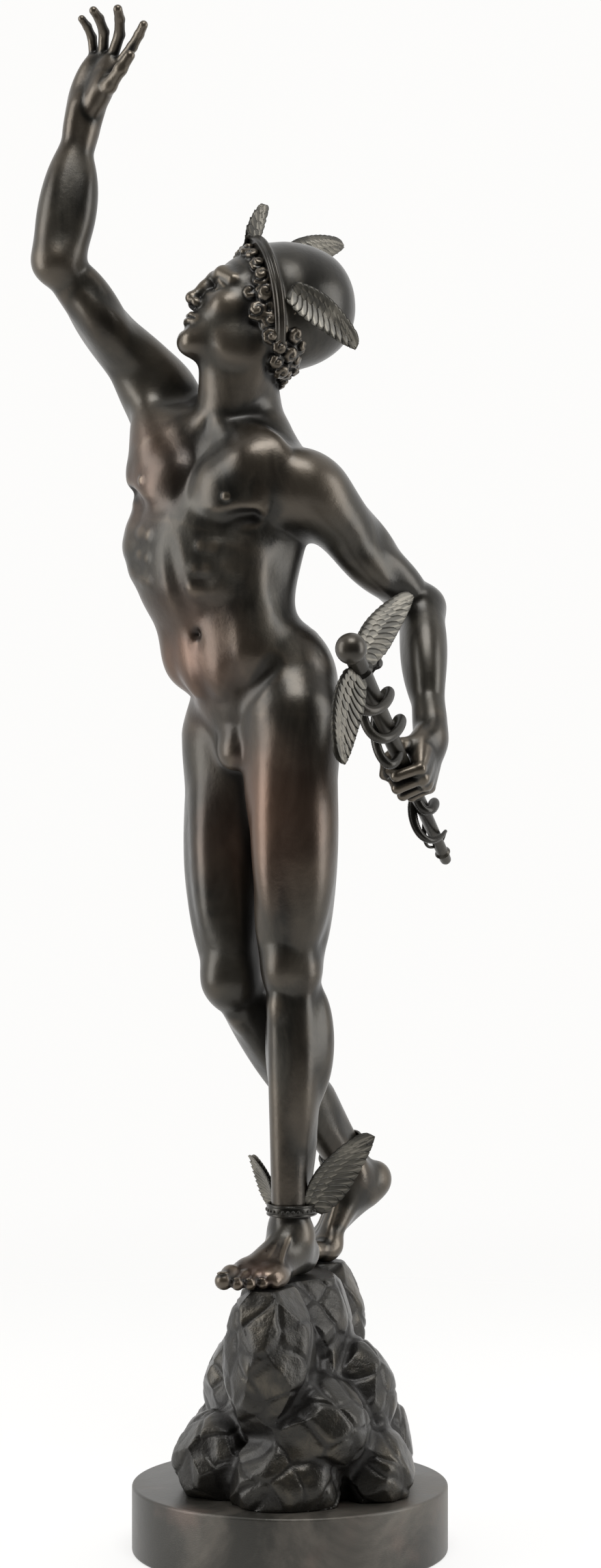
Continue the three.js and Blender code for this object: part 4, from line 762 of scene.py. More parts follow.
def foot_clay(limb):
    # The foot's frame lies along the sole, from the ball up and back to the ankle.
    o = limb.out
    rise = limb.ankle[2] - limb.ball[2]
    run = math.hypot(*(limb.ankle - limb.ball)[:2])
    heel_lift = math.atan2(rise, run) - math.atan2(0.027, 0.066)
    forward = limb.toes_out * math.cos(heel_lift) + vec(0, 0, -math.sin(heel_lift))
    up = limb.toes_out * math.sin(heel_lift) + vec(0, 0, math.cos(heel_lift))
    foot = Frame(limb.ball, up, forward)
    toes = Frame(limb.ball, vec(0, 0, 1), limb.toes_out)
    clay = [
        # Heel, instep, outer edge and the pads under the toes.
        Swell(foot, (o * -0.001, -0.088, 0.007), (0.0165, 0.021, 0.0195), 0.012),
        Swell(foot, (0, -0.066, 0.024), (0.0165, 0.0215, 0.0185), 0.016),
        Taper(foot.at(0, -0.064, 0.02), foot.at(o * -0.008, -0.006, 0.002), 0.0165, 0.0112, 0.012),
        Taper(foot.at(o * 0.001, -0.07, 0.004), foot.at(o * 0.013, -0.008, -0.003), 0.0145, 0.0092, 0.012),
        Swell(foot, (o * -0.014, 0, -0.001), (0.0115, 0.016, 0.0115), 0.01),
        Swell(foot, (o * 0.003, -0.002, -0.002), (0.018, 0.017, 0.0105), 0.01),
        Swell(foot, (o * 0.016, -0.006, -0.004), (0.0095, 0.018, 0.0085), 0.01),
        Swell(foot, (o * -0.02, -0.042, -0.014), (0.012, 0.026, 0.011), 0.01, True),
    ]
    across_toes = (-0.0165, -0.0042, 0.005, 0.0132, 0.0202)
    lengths = (0.034, 0.034, 0.031, 0.026, 0.02)
    radii = (0.0088, 0.0062, 0.0058, 0.0055, 0.0052)
    for i, (across, length, radius) in enumerate(zip(across_toes, lengths, radii)):
        root = toes.at(o * across * 0.92, 0.004 - 0.01 * (i > 2), -0.002)
        knuckle = toes.at(o * across, length * 0.6 - 0.004 * i, radius * 0.7 - 0.0065)
        tip = toes.at(o * across, length - 0.004 * i, radius - 0.0128)
        clay.append(Taper(root, knuckle, radius * 1.1, radius, 0.003))
        clay.append(Taper(knuckle, tip, radius, radius * 0.95, 0.003))
        # A cord of the instep, and the nail.
        cord = foot.at(o * across * 0.35, -0.05, 0.03)
        clay.append(Taper(cord, root + vec(0, 0, radius * 0.55), 0.0018, 0.0016, 0.004))
        nail = Frame(tip + vec(0, 0, radius * 0.76), vec(0, 0.2, 1), limb.toes_out)
        clay.append(Swell(nail, (0, 0.0012, 0), (radius * 0.62, radius * 0.72, radius * 0.26), 0.0003))
    return clay


def strand(frame, places, radii, blend, carves=False):
    """A row of tapers through places in a frame."""
    points = [frame.at(*p) for p in places]
    radii = [r * frame.size for r in radii]
    return [
        Taper(a, b, ra, rb, blend, carves)
        for a, b, ra, rb in zip(points, points[1:], radii, radii[1:])
    ]


def trunk_clay():
    clay = [
        # Pelvis, belly and rib cage.
        Swell(pelvis, (0, -0.006, 0.004), (0.068, 0.046, 0.056), 0.02),
        Swell(waist, (0, 0.001, 0.002), (0.0615, 0.0425, 0.085), 0.02),
        Swell(chest, (0, -0.003, -0.004), (0.0725, 0.0535, 0.1), 0.02),
        Swell(chest, (0, -0.012, 0.056), (0.086, 0.043, 0.052), 0.02),
        # Neck, the two cords that run from behind the ears to the collar, and the throat.
        Taper(chest.at(0, -0.012, 0.09), head.at(0, -0.007, -0.034), 0.033, 0.03, 0.018),
        Taper(chest.at(0.01, 0.022, 0.1), head.at(0.031, -0.014, -0.022), 0.007, 0.011, 0.02),
        Taper(chest.at(-0.01, 0.022, 0.1), head.at(-0.031, -0.014, -0.022), 0.007, 0.011, 0.02),
        Taper(chest.at(0, 0.008, 0.1), head.at(0, 0.012, -0.042), 0.024, 0.0175, 0.02),
        # Lower belly.
        Swell(pelvis, (0, 0.03, 0.03), (0.04, 0.02, 0.045), 0.02),
        Swell(pelvis, (0, 0.039, -0.03), (0.018, 0.0145, 0.018), 0.016),
    ]
    for limb in (right, left):
        o = limb.out

        def beside(x, y, z):
            """A place beside the joint of the shoulder, which is lifted or let down with the arm."""
            return chest.at(o * x, y, z) + limb.shoulder - chest.origin

        clay += [
            # Flank, the roll above the hip, and the buttock.
            Swell(waist, (o * 0.044, 0.004, -0.028), (0.0245, 0.034, 0.034), 0.014),
            Taper(chest.at(o * 0.07, -0.006, 0.055), chest.at(o * 0.057, -0.002, -0.03), 0.021, 0.0225, 0.02),
            Taper(chest.at(o * 0.052, 0.006, -0.03), waist.at(o * 0.036, 0.008, -0.03), 0.0235, 0.024, 0.02),
            Swell(pelvis, (o * 0.05, -0.004, 0.01), (0.03, 0.036, 0.04), 0.02),
            Swell(pelvis, (o * 0.046, -0.019, 0.036), (0.032, 0.033, 0.042), 0.03),
            Swell(pelvis, (o * 0.034, -0.028, -0.014), (0.036, 0.033, 0.042), 0.012),
            # Side back and shoulder blade.
            Taper(chest.at(o * 0.07, -0.02, 0.05), waist.at(o * 0.036, -0.018, 0.01), 0.026, 0.02, 0.02),
            Swell(chest, (o * 0.045, -0.045, 0.05), (0.033, 0.0155, 0.042), 0.014),
            Taper(chest.at(o * 0.03, -0.044, 0.066), beside(-0.006, -0.022, -0.022), 0.013, 0.0155, 0.016),
            # The cords along the spine.
            Taper(pelvis.at(o * 0.018, -0.035, 0.03), chest.at(o * 0.02, -0.04, 0), 0.0155, 0.0145, 0.02),
            # From the neck to each shoulder, and the collar bone.
            Taper(chest.at(o * 0.008, -0.014, 0.124), beside(-0.014, -0.008, -0.006), 0.0185, 0.0165, 0.024),
            Taper(chest.at(o * 0.03, -0.006, 0.092), beside(-0.007, 0.004, -0.014), 0.024, 0.022, 0.018),
            Taper(chest.at(o * 0.01, 0.03, 0.092), beside(-0.008, 0.016, 0.002), 0.0048, 0.0052, 0.012),
            # Breast: a flat fan from the breastbone to the arm.
            Swell(chest, (o * 0.032, 0.0365, 0.032), (0.0325, 0.0185, 0.034), 0.007),
            Swell(chest, (o * 0.0565, 0.0265, 0.041), (0.0305, 0.02, 0.036), 0.009),
            Swell(chest, (o * 0.045, 0.026, 0.071), (0.045, 0.0185, 0.027), 0.014),
            # Straight belly muscles, three rows.
            Swell(waist, (o * 0.0158, 0.0375, 0.056), (0.0168, 0.0105, 0.0165), 0.008),
            Swell(waist, (o * 0.0162, 0.0365, 0.025), (0.0175, 0.011, 0.0175), 0.008),
            Swell(waist, (o * 0.015, 0.0315, -0.026), (0.019, 0.0135, 0.042), 0.012),
        ]
        # The nipple, and three ribs that show faintly from the side round to the front.
        clay.append(Swell(chest, (o * 0.05, 0.0502, 0.024), (0.0032, 0.0022, 0.0032), 0.004))
        for i in range(3):
            row = []
            for angle in np.linspace(1.4, 0.5, 6):
                height = -0.012 - 0.02 * i - 0.014 * math.cos(angle)
                wide = math.sqrt(1 - (height / 0.1) ** 2)
                across = o * (0.0725 * wide - 0.0052) * math.sin(angle)
                row.append(chest.at(across, (0.0535 * wide - 0.0052) * math.cos(angle) - 0.003, height))
            clay += [Taper(row[k], row[k + 1], 0.0045, 0.0045, 0.009) for k in range(5)]
        # The saw-toothed muscle along the ribs.
        for i in range(4):
            place = (o * (0.0605 - 0.0014 * i * i), 0.0125 - 0.001 * i, 0.004 - 0.02 * i)
            clay.append(Swell(chest, place, (0.0108, 0.0165, 0.0092), 0.014))
        # The furrow under the breast, the rib arch and the groin.
        fold = [(o * 0.01, 0.059, 0.001), (o * 0.045, 0.0515, -0.003), (o * 0.071, 0.031, 0.014)]
        clay += strand(chest, fold, (0.003,) * 3, 0.011, True)
        clay += [
            Taper(chest.at(o * 0.016, 0.064, -0.018), chest.at(o * 0.056, 0.045, -0.078), 0.005, 0.004, 0.012, True),
            Taper(pelvis.at(o * 0.072, 0.032, 0.04), pelvis.at(o * 0.024, 0.056, -0.016), 0.0045, 0.0045, 0.012, True),
        ]
    # The furrow of the back, the midline of the front, and the navel.
    return clay + [
        Taper(pelvis.at(0, -0.06, 0.02), chest.at(0, -0.067, 0.06), 0.007, 0.008, 0.018, True),
        Taper(chest.at(0, 0.061, 0), chest.at(0, 0.056, 0.076), 0.0035, 0.0035, 0.014, True),
        Taper(waist.at(0, 0.0555, -0.02), chest.at(0, 0.061, -0.03), 0.003, 0.003, 0.014, True),
        Swell(waist, (0, 0.049, -0.012), (0.0035, 0.008, 0.0045), 0.006, True),
    ]


def arm_clay(limb):
    o = limb.out
    upper = limb_frame(limb.elbow, limb.shoulder, limb.upper_front)
    lower = limb_frame(limb.wrist, limb.elbow, limb.lower_front)
    U, L = upper.length, lower.length
    # The folds of the breast and of the back reach under the cap of the shoulder.
    fold = limb.shoulder + 0.24 * (limb.elbow - limb.shoulder)
    return [
        Taper(limb.elbow, limb.shoulder, 0.0195, 0.028),
        Swell(upper, (0, 0.0138, U * 0.46), (0.02, 0.0196, 0.05), 0.007),
        Swell(upper, (o * 0.0077, -0.0121, U * 0.58), (0.0193, 0.0193, 0.058), 0.007),
        Swell(upper, (o * -0.0066, -0.0138, U * 0.5), (0.0176, 0.0187, 0.058), 0.007),
        Swell(upper, (o * 0.0132, 0.0033, U * 0.27), (0.0123, 0.0149, 0.034), 0.008),
        # Elbow.
        Swell(upper, (0, -0.0121, 0), (0.0097, 0.0094, 0.013), 0.01),
        Swell(upper, (0, 0, 0.001), (0.0215, 0.0182, 0.018), 0.012),
        # Forearm, flat towards the wrist.
        Taper(limb.wrist, limb.elbow, 0.0136, 0.0208),
        Swell(lower, (0, 0, L * 0.08), (0.0165, 0.0128, 0.032), 0.01),
        Swell(lower, (o * 0.0096, 0.0033, L * 0.7), (0.019, 0.0195, 0.056), 0.01),
        Swell(lower, (o * -0.009, -0.0011, L * 0.66), (0.018, 0.0195, 0.06), 0.01),
        # Cap of the shoulder and the folds.
        Swell(upper, (o * 0.0066, -0.0011, U * 0.93), (0.0347, 0.0358, 0.0455), 0.014),
        Swell(upper, (o * 0.0099, 0.0033, U * 0.76), (0.0237, 0.0259, 0.045), 0.012),
        Taper(chest.at(o * 0.054, 0.03, 0.06), fold, 0.0215, 0.011, 0.018),
        Taper(chest.at(o * 0.072, -0.03, 0.03), fold, 0.022, 0.012, 0.018),
    ]


def turned(v, axis, degrees):
    return np.array(Matrix.Rotation(math.radians(degrees), 3, Vector(axis)) @ Vector(v))


FINGERS = [
    # across the palm, reach, bone lengths, radius
    (0.0185, 0.05, (0.0235, 0.0145, 0.0115), 0.0054),
    (0.0065, 0.0525, (0.0255, 0.0165, 0.012), 0.0056),
    (-0.0055, 0.051, (0.024, 0.0155, 0.0115), 0.0053),
    (-0.0165, 0.047, (0.019, 0.012, 0.01), 0.0047),
]


def hand_clay(hand, s, curls, thumb):
    """The hand's frame: side towards the thumb, front out of the palm, up along the fingers."""
    clay = [
        Swell(hand, (0, 0, 0.006), (0.0152, 0.0108, 0.018), 0.012),
        Swell(hand, (s * 0.001, 0, 0.028), (0.0215, 0.0088, 0.031), 0.012),
        Swell(hand, (s * 0.009, 0.003, 0.03), (0.0135, 0.009, 0.026), 0.006),
        Swell(hand, (s * -0.012, 0.003, 0.024), (0.0105, 0.0085, 0.026), 0.006),
        Swell(hand, (s * 0.014, 0.006, 0.018), (0.0095, 0.0095, 0.02), 0.006),
    ]
    for (across, reach, lengths, radius), bends in zip(FINGERS, curls):
        root = hand.at(s * across * 0.92, -0.001, reach)
        heading = unit(hand.at(s * across * 3, 0, reach * 3) - hand.origin)
        heading = unit(heading + hand.side * s * across * 2)
        knuckle = hand.at(s * across * 0.8, -0.001, reach - 0.022)
        clay.append(Taper(knuckle, root, radius * 1.05, radius * 1.05, 0.005))
        axis = unit(np.cross(heading, hand.front))
        here = root
        for i, (length, bend) in enumerate(zip(lengths, bends)):
            heading = turned(heading, axis, bend)
            ahead = here + heading * length
            clay.append(Taper(here, ahead, radius * (1 - 0.08 * i), radius * (0.93 - 0.08 * i), 0.002))
            here = ahead
    joints = [hand.at(s * x, y, z) for x, y, z in thumb]
    thumb_radii = (0.0085, 0.0068, 0.0058, 0.005)
    for a, b, ra, rb in zip(joints, joints[1:], thumb_radii, thumb_radii[1:]):
        clay.append(Taper(a, b, ra, rb, 0.004))
    return clay


right_hand = Frame(right.wrist, vec(0.4, -0.22, 0.89), facing(38))
staff_way = unit(vec(-0.3, -0.735, 0.61))
grip_way = unit(vec(-0.16, -0.62, -0.78))
left_hand = Frame(left.wrist, grip_way, np.cross(grip_way, staff_way))
grip = left_hand.at(0, 0.0165, 0.043)

OPEN_CURLS = ((4, 10, 6), (14, 22, 12), (22, 28, 16), (20, 26, 16))
OPEN_THUMB = ((0.011, 0.003, 0.012), (0.0245, 0.008, 0.03), (0.033, 0.0115, 0.049), (0.0375, 0.012, 0.064))
FIST_CURLS = ((58, 88, 58), (62, 90, 60), (64, 90, 62), (66, 88, 62))
FIST_THUMB = ((0.013, 0.005, 0.014), (0.0255, 0.018, 0.028), (0.021, 0.031, 0.041), (0.009, 0.036, 0.048))


def head_clay():
    clay = [
        # Skull, face, jaw and chin.
        Swell(head, (0, -0.009, 0.018), (0.0425, 0.0515, 0.046), 0.01),
        Swell(head, (0, 0.014, -0.008), (0.0335, 0.0335, 0.042), 0.016),
        Swell(head, (0, 0.013, -0.036), (0.0265, 0.029, 0.0205), 0.014),
        Swell(head, (0, 0.037, -0.052), (0.0138, 0.0098, 0.0098), 0.018),
        # Neck, running down into the chest.
        Taper(head.at(0, -0.008, -0.03), chest.at(0, -0.011, 0.104), 0.03, 0.032, 0.012),
    ]
    for o in (1, -1):
        clay += [
            # Cheek, corner of the jaw, and the socket with its ball.
            Swell(head, (o * 0.0225, 0.0265, -0.014), (0.0115, 0.012, 0.011), 0.012),
            Swell(head, (o * 0.0245, 0.004, -0.036), (0.0085, 0.015, 0.0155), 0.014),
            Swell(head, (o * 0.0165, 0.0475, 0.0015), (0.0115, 0.009, 0.0068), 0.007, True),
            Swell(head, (o * 0.0165, 0.0325, 0), (0.0098, 0.0098, 0.0098), 0.0012),
        ]
        # Brow, then the two lids.
        clay += strand(
            head,
            [(o * 0.004, 0.0446, 0.0088), (o * 0.015, 0.0437, 0.0122), (o * 0.0275, 0.0352, 0.0095)],
            (0.003, 0.0028, 0.0018),
            0.012,
        )
        clay += strand(
            head,
            [(o * 0.0082, 0.0398, -0.0012), (o * 0.0125, 0.0425, 0.0033), (o * 0.0185, 0.0425, 0.0042),
             (o * 0.0252, 0.037, -0.0006)],
            (0.0011, 0.0013, 0.0014, 0.0011),
            0.0016,
        )
        clay += strand(
            head,
            [(o * 0.0082, 0.0398, -0.0012), (o * 0.0135, 0.0415, -0.0044), (o * 0.0195, 0.0405, -0.0046),
             (o * 0.0252, 0.037, -0.0006)],
            (0.0009, 0.0011, 0.0011, 0.0009),
            0.0018,
        )
    # Nose: bridge, tip and wings.
    bridge = [(0, 0.0452, 0.009), (0, 0.049, -0.002), (0, 0.0535, -0.0145)]
    clay += strand(head, bridge, (0.0046, 0.0043, 0.0045), 0.006)
    clay.append(Swell(head, (0, 0.0545, -0.0172), (0.005, 0.0048, 0.0046), 0.005))
    for o in (1, -1):
        clay.append(Swell(head, (o * 0.0056, 0.0482, -0.0195), (0.0038, 0.0058, 0.0042), 0.003))
        clay.append(Swell(head, (o * 0.003, 0.0512, -0.0232), (0.0017, 0.003, 0.0014), 0.001, True))
    # Lips, the line between them, and the hollows above and below.
    clay.append(Swell(head, (0, 0.0415, -0.034), (0.0125, 0.0075, 0.0068), 0.006))
    for o in (1, -1):
        clay += strand(
            head,
            [(0, 0.0478, -0.0318), (o * 0.004, 0.0478, -0.0309), (o * 0.0108, 0.0418, -0.0338)],
            (0.0019, 0.002, 0.0009),
            0.0025,
        )
        clay += strand(
            head,
            [(0, 0.0474, -0.0374), (o * 0.0045, 0.0466, -0.0372), (o * 0.0102, 0.0415, -0.0346)],
            (0.0025, 0.0023, 0.0009),
            0.0025,
        )
        clay += strand(
            head,
            [(0, 0.0508, -0.0342), (o * 0.006, 0.0488, -0.0339), (o * 0.0118, 0.044, -0.0345)],
            (0.0009, 0.0008, 0.0007),
            0.0014,
            True,
        )
    clay += strand(head, [(0, 0.0512, -0.0248), (0, 0.0502, -0.0292)], (0.0014, 0.0014), 0.003, True)
    clay.append(Swell(head, (0, 0.05, -0.0432), (0.009, 0.0038, 0.0028), 0.005, True))
    # Ears: a bowl with a rolled rim and a lobe.
    for o in (1, -1):
        clay.append(Swell(head, (o * 0.0412, -0.0095, -0.006), (0.0036, 0.0088, 0.0142), 0.003))
        clay.append(Swell(head, (o * 0.046, -0.0075, -0.0055), (0.0034, 0.0045, 0.0078), 0.002, True))
        rim = []
        for k in range(9):
            a = math.radians(-60 + 36 * k)
            rim.append((o * (0.0438 + 0.001 * math.sin(a)), -0.0095 - 0.0078 * math.cos(a), -0.0045 + 0.0125 * math.sin(a)))
        clay += strand(head, rim, (0.0016,) * 9, 0.0014)
    return clay + hair_clay()


def curl(centre, outward, radius, twist, hand):
    """A snail curl: a lock that winds in towards its middle and rises from the head."""
    outward = unit(outward)
    first = unit(np.cross(outward, vec(0.3, 0.2, 1)))
    second = np.cross(outward, first)
    places, thickness = [], []
    for k in range(10):
        share = k / 9
        a = twist + hand * share * 2 * math.pi * 1.35
        r = radius * (1 - 0.86 * share)
        places.append(centre + r * (math.cos(a) * first + math.sin(a) * second) + outward * radius * 0.75 * share)
        thickness.append(radius * (0.3 + 0.1 * math.sin(share * math.pi)))
    return [
        Taper(a, b, ra, rb, radius * 0.16)
        for a, b, ra, rb in zip(places, places[1:], thickness, thickness[1:])
    ]


# The hat sits tilted back on the head, and a row of locks frames the face under its brim.
HAT_TILT = math.radians(53)
hat_up = head.up * math.cos(HAT_TILT) - head.front * math.sin(HAT_TILT)
hat_frame = Frame(head.at(0, -0.003, 0.0095), hat_up, head.front, 1.06)
FRINGE_LOCKS = 11
HAIR_ROWS = [
    # locks, sweep in degrees, height, radius, ring
    (15, 130, 0.004, 0.0078, 0.0445),
    (14, 112, -0.0095, 0.0076, 0.0445),
    (11, 84, -0.0225, 0.0074, 0.0428),
    (8, 58, -0.035, 0.007, 0.0395),
]


def hair_clay():
    """Short curls show between the hat and the neck, from one temple round the nape to the other."""
    clay = [Swell(head, (0, -0.024, -0.008), (0.0405, 0.0355, 0.03), 0.012)]
    for row, (locks, sweep, height, radius, ring) in enumerate(HAIR_ROWS):
        for i in range(locks):
            turn = math.radians(sweep * (2 * i / (locks - 1) - 1))
            lift = 0.0018 * math.sin(i * 2.3 + row)
            place = head.at(ring * 0.95 * math.sin(turn), -0.012 - ring * 0.92 * math.cos(turn), height + lift)
            outward = place - head.at(0, -0.012, height * 0.6)
            size = radius * head.size * (0.92 + 0.12 * math.sin(i * 1.7 + row * 2.1))
            clay.append(Taper(place, place - outward * 0.12, size * 0.85, size, 0.004))
            clay += curl(place + unit(outward) * size * 0.25, outward, size, i * 1.3 + row, 1 if (i + row) % 2 else -1)
    for i in range(FRINGE_LOCKS):
        turn = math.radians(84) * (2 * i / (FRINGE_LOCKS - 1) - 1)
        place = hat_frame.at(0.0445 * math.sin(turn), 0.0485 * math.cos(turn), -0.0085)
        outward = place - hat_frame.at(0, 0, -0.002)
        size = 0.0078 * (0.95 + 0.1 * math.sin(i * 1.9))
        clay.append(Taper(place, place - outward * 0.2, size * 0.85, size, 0.004))
        clay += curl(place + unit(outward) * size * 0.2, outward, size, i * 1.1, 1 if i % 2 else -1)
    return clay


rod_line = (grip - staff_way * 0.05, grip + staff_way * 0.05)
figure_clay = (
    trunk_clay()
    + leg_clay(left)
    + leg_clay(right)
    + arm_clay(right)
    + arm_clay(left)
    + head_clay()
    + hand_clay(right_hand, -1, OPEN_CURLS, OPEN_THUMB)
    + hand_clay(left_hand, 1, FIST_CURLS, FIST_THUMB)
    + [Taper(rod_line[0], rod_line[1], 0.0065, 0.0078, 0.001, True)]
)
figure_cell = 0.0009 * FINE / STATURE
skin_points, skin_faces = skinned(
    figure_clay, figure_cell, np.array([-0.29, -0.2, 0.0]), np.array([0.2, 0.2, 1.28])
)
skin_points = settled(figure_clay, skin_points, skin_faces, figure_cell)
skin_points[:, 2] = np.maximum(skin_points[:, 2], 0)
body = thinned("figure_body", skin_points * STATURE + [0, 0, footing], skin_faces, 190000)
body_points = (corners_of(body) - [0, 0, footing]) / STATURE
painted_shade_share, worn_share = relief(figure_clay, body_points, STATURE)
stored(body, "painted_shade", painted_shade_share)
stored(body, "worn", worn_share)

# Where hands have rubbed the bronze warm: the place in the clay, and how far it reaches in metres.
HANDLED = [
    (waist.at(0.025, 0.045, -0.035), 0.062),
    (chest.at(0.06, 0.035, 0.03), 0.045),
    (left.hip * 0.62 + left.knee * 0.38 + facing(60) * 0.045, 0.07),
    (left.ball + vec(0, -0.01, 0.005), 0.035),
]
patina = Bronze("waxed_brown_bronze", metallic=0.75, coat=0.3, coat_roughness=0.27)
painted_shade = patina.node("ShaderNodeAttribute", {"attribute_name": "painted_shade"}, None, 2)
worn = patina.node("ShaderNodeAttribute", {"attribute_name": "worn"}, None, 2)
broad = patina.cloud(9, 4, 0.55, 0.5)
streak = patina.cloud(30, 4, 0.6, 0.8, (1, 1, 0.45))
fine = patina.cloud(160, 4, 0.6)
rub = patina.ease(broad + 0.35 * worn, 0.5, 0.72)
colour = patina.mixed(patina.ease(streak, 0.35, 0.7), (0.016, 0.0145, 0.0115, 1), (0.045, 0.040, 0.031, 1))
colour = patina.mixed(rub * 0.4, colour, (0.12, 0.094, 0.068, 1))
for spot, reach in HANDLED:
    handled = patina.close_to(tuple(spot * STATURE + [0, 0, footing]), reach) * patina.ease(broad, 0.3, 0.6)
    colour = patina.mixed(handled * 0.5, colour, (0.17, 0.088, 0.056, 1))
colour = patina.mixed(patina.ease(worn, 0.25, 0.9) * 0.24, colour, (0.18, 0.15, 0.11, 1))
# Painted shade: the bronze turns near black where the clay closes round it.
colour = patina.mixed(patina.ease(painted_shade, 0.12, 0.7) * 0.9, colour, (0.006, 0.005, 0.004, 1))
patina.feed("Base Color", colour)
matt = 0.15 * patina.ease(streak, 0.3, 0.7) + 0.28 * patina.ease(painted_shade, 0.1, 0.8)
patina.feed("Roughness", 0.24 + matt + 0.08 * fine)
uneven = patina.cloud(42, 2, 0.4)
patina.bumped(uneven + 0.16 * fine + 0.08 * patina.cloud(520, 2), 0.0009)
body.data.materials.append(patina.material)
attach(body, "root")
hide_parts("figure")


# The hat is a round cap, worn tilted back and cast in one with the head. Its narrow brim ends in
# two rolled rims, and a small leaf stands at its front.
def metres(frame):
    """The same frame as one in metres, on the ground of the finished figure."""
    return Frame(frame.origin * STATURE + [0, 0, footing], frame.up, frame.front, frame.size)


def stood(made, origin, first, second, third):
    """Turns a mesh from its own axes to three others, and moves it to an origin."""
    matrix = Matrix.Identity(4)
    for k, column in enumerate((first, second, third, origin)):
        for i in range(3):
            matrix[i][k] = column[i]
    made.data.transform(matrix)
    if matrix.determinant() < 0:
        made.data.flip_normals()
    return made


def flowing(points, steps):
    """A smooth curve through points in the plane."""
    path = [points[0]]
    padded = [points[0]] + points + [points[-1]]
    for a, b, c, d in zip(padded, padded[1:], padded[2:], padded[3:]):
        a, b, c, d = (Vector(p) for p in (a, b, c, d))
        for k in range(1, steps + 1):
            t = k / steps
            place = 2 * b + (c - a) * t + (2 * a - 5 * b + 4 * c - d) * t * t
            path.append(tuple((place + (3 * b - a - 3 * c + d) * t**3) / 2))
    return path


HAT_WIDTH = 0.9
dome = metres(hat_frame)
# Radius and height, in shares of the stature, from the flat underside over the rims to the crown.
HAT_PROFILE = [
    (0, -0.0045),
    (0.056, -0.0045),
    (0.0615, -0.0052),
    (0.0638, -0.0033),
    (0.063, -0.0007),
    (0.0648, 0.0019),
    (0.0632, 0.0044),
    (0.06, 0.0052),
    (0.0575, 0.0095),
    (0.057, 0.03),
    (0.0512, 0.0525),
    (0.0395, 0.0712),
    (0.022, 0.0823),
    (0, 0.086),
]
hat_scale = STATURE * dome.size
hat_path = [(max(r, 0) * hat_scale, z * hat_scale) for r, z in flowing(HAT_PROFILE, 7)]
hat_path[-1] = (0, hat_path[-1][1])
hat = lathe("hat_dome", hat_path, 144)
stood(hat, dome.origin, dome.side * HAT_WIDTH, dome.front, dome.up)
hat.data.materials.append(patina.material)
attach(hat, "root")
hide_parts("figure")


# The wings of hat, ankle and staff are cast leaves with three rows of feathers on either face.
# One tree grows them all: a blade, then the feathers along it, then the sweep and the curl.
class Growth(Works):
    """A geometry tree with named sizes, which is run once for each piece and kept as its mesh."""

    def __init__(self, name, sizes):
        self.group = bpy.data.node_groups.new(name, "GeometryNodeTree")
        super().__init__(self.group)
        for label, value in sizes.items():
            kind = "NodeSocketInt" if isinstance(value, int) else "NodeSocketFloat"
            socket = self.group.interface.new_socket(label, in_out="INPUT", socket_type=kind)
            socket.default_value = value
        self.group.interface.new_socket("Geometry", in_out="OUTPUT", socket_type="NodeSocketGeometry")
        self.entry = self.group.nodes.new("NodeGroupInput")

    def size(self, label):
        return Wire(self, self.entry.outputs[label])

    def parts(self, vector):
        made = self.node("ShaderNodeSeparateXYZ", None, {0: vector})
        return [Wire(self, output) for output in made.socket.node.outputs]

    def vector(self, x, y, z):
        return self.node("ShaderNodeCombineXYZ", None, {0: x, 1: y, 2: z})

    def moved(self, geometry, place):
        return self.node("GeometryNodeSetPosition", None, {"Geometry": geometry, "Position": place})

    def keep(self, geometry, name, value):
        """Keeps a number for each point, under a name."""
        settings = {"data_type": "FLOAT", "domain": "POINT"}
        return self.node("GeometryNodeStoreNamedAttribute", settings, {0: geometry, "Name": name, "Value": value})

    def joined(self, geometries):
        made = self.tree.nodes.new("GeometryNodeJoinGeometry")
        for geometry in geometries:
            self.tree.links.new(geometry.socket, made.inputs[0])
        return Wire(self, made.outputs[0])

    def finished(self, geometry, material):
        solid = self.node("GeometryNodeRealizeInstances", None, {0: geometry})
        smooth = self.node("GeometryNodeSetShadeSmooth", None, {0: solid})
        dressed = self.node("GeometryNodeSetMaterial", None, {0: smooth, "Material": material})
        self.node("NodeGroupOutput", None, {0: dressed})

    def grown(self, name, sizes):
        """Runs the tree with these sizes, and keeps what it makes as a plain mesh."""
        made = bpy.data.objects.new(name, bpy.data.meshes.new(name))
        scene.collection.objects.link(made)
        modifier = made.modifiers.new("growth", "NODES")
        modifier.node_group = self.group
        for item in self.group.interface.items_tree:
            if item.in_out == "INPUT" and item.name in sizes:
                modifier[item.identifier] = sizes[item.name]
        ready = made.evaluated_get(bpy.context.evaluated_depsgraph_get())
        made.data = bpy.data.meshes.new_from_object(ready)
        made.modifiers.remove(modifier)
        made.data.name = name
        return made


def pillow(tree, along, across):
    """A closed cushion of grid points, with u from 0 to 1 along it, and v and t from -1 to 1."""
    sockets = {"Size": (1, 1, 1), "Vertices X": along, "Vertices Y": across, "Vertices Z": 2}
    cube = tree.node("GeometryNodeMeshCube", None, sockets)
    x, y, z = tree.parts(tree.node("GeometryNodeInputPosition"))
    return cube, x + 0.5, y * 2, z * 2


wings = Growth(
    "feathered_wing",
    {"Length": 0.05, "Width": 0.02, "Thickness": 0.003, "Sweep": 0.2, "Curl": 0.1, "Quills": 11, "Turn": 0.2},
)
wing_length, wing_width, wing_thickness = (wings.size(k) for k in ("Length", "Width", "Thickness"))


def wing_full(u):
    """How full the wing is at u, from its root to its tip."""
    belly = wings.math("SINE", wings.math("MINIMUM", u * 2.4, 1.0) * (math.pi / 2))
    return (belly * 0.5 + 0.5) * (1 - u**2.4) ** 0.8


def wing_chord(v):
    """Where v lies across the wing, with the leading edge at 1 and the trailing edge at -1."""
    return v * 0.5 - wings.math("ABSOLUTE", v) * 0.08


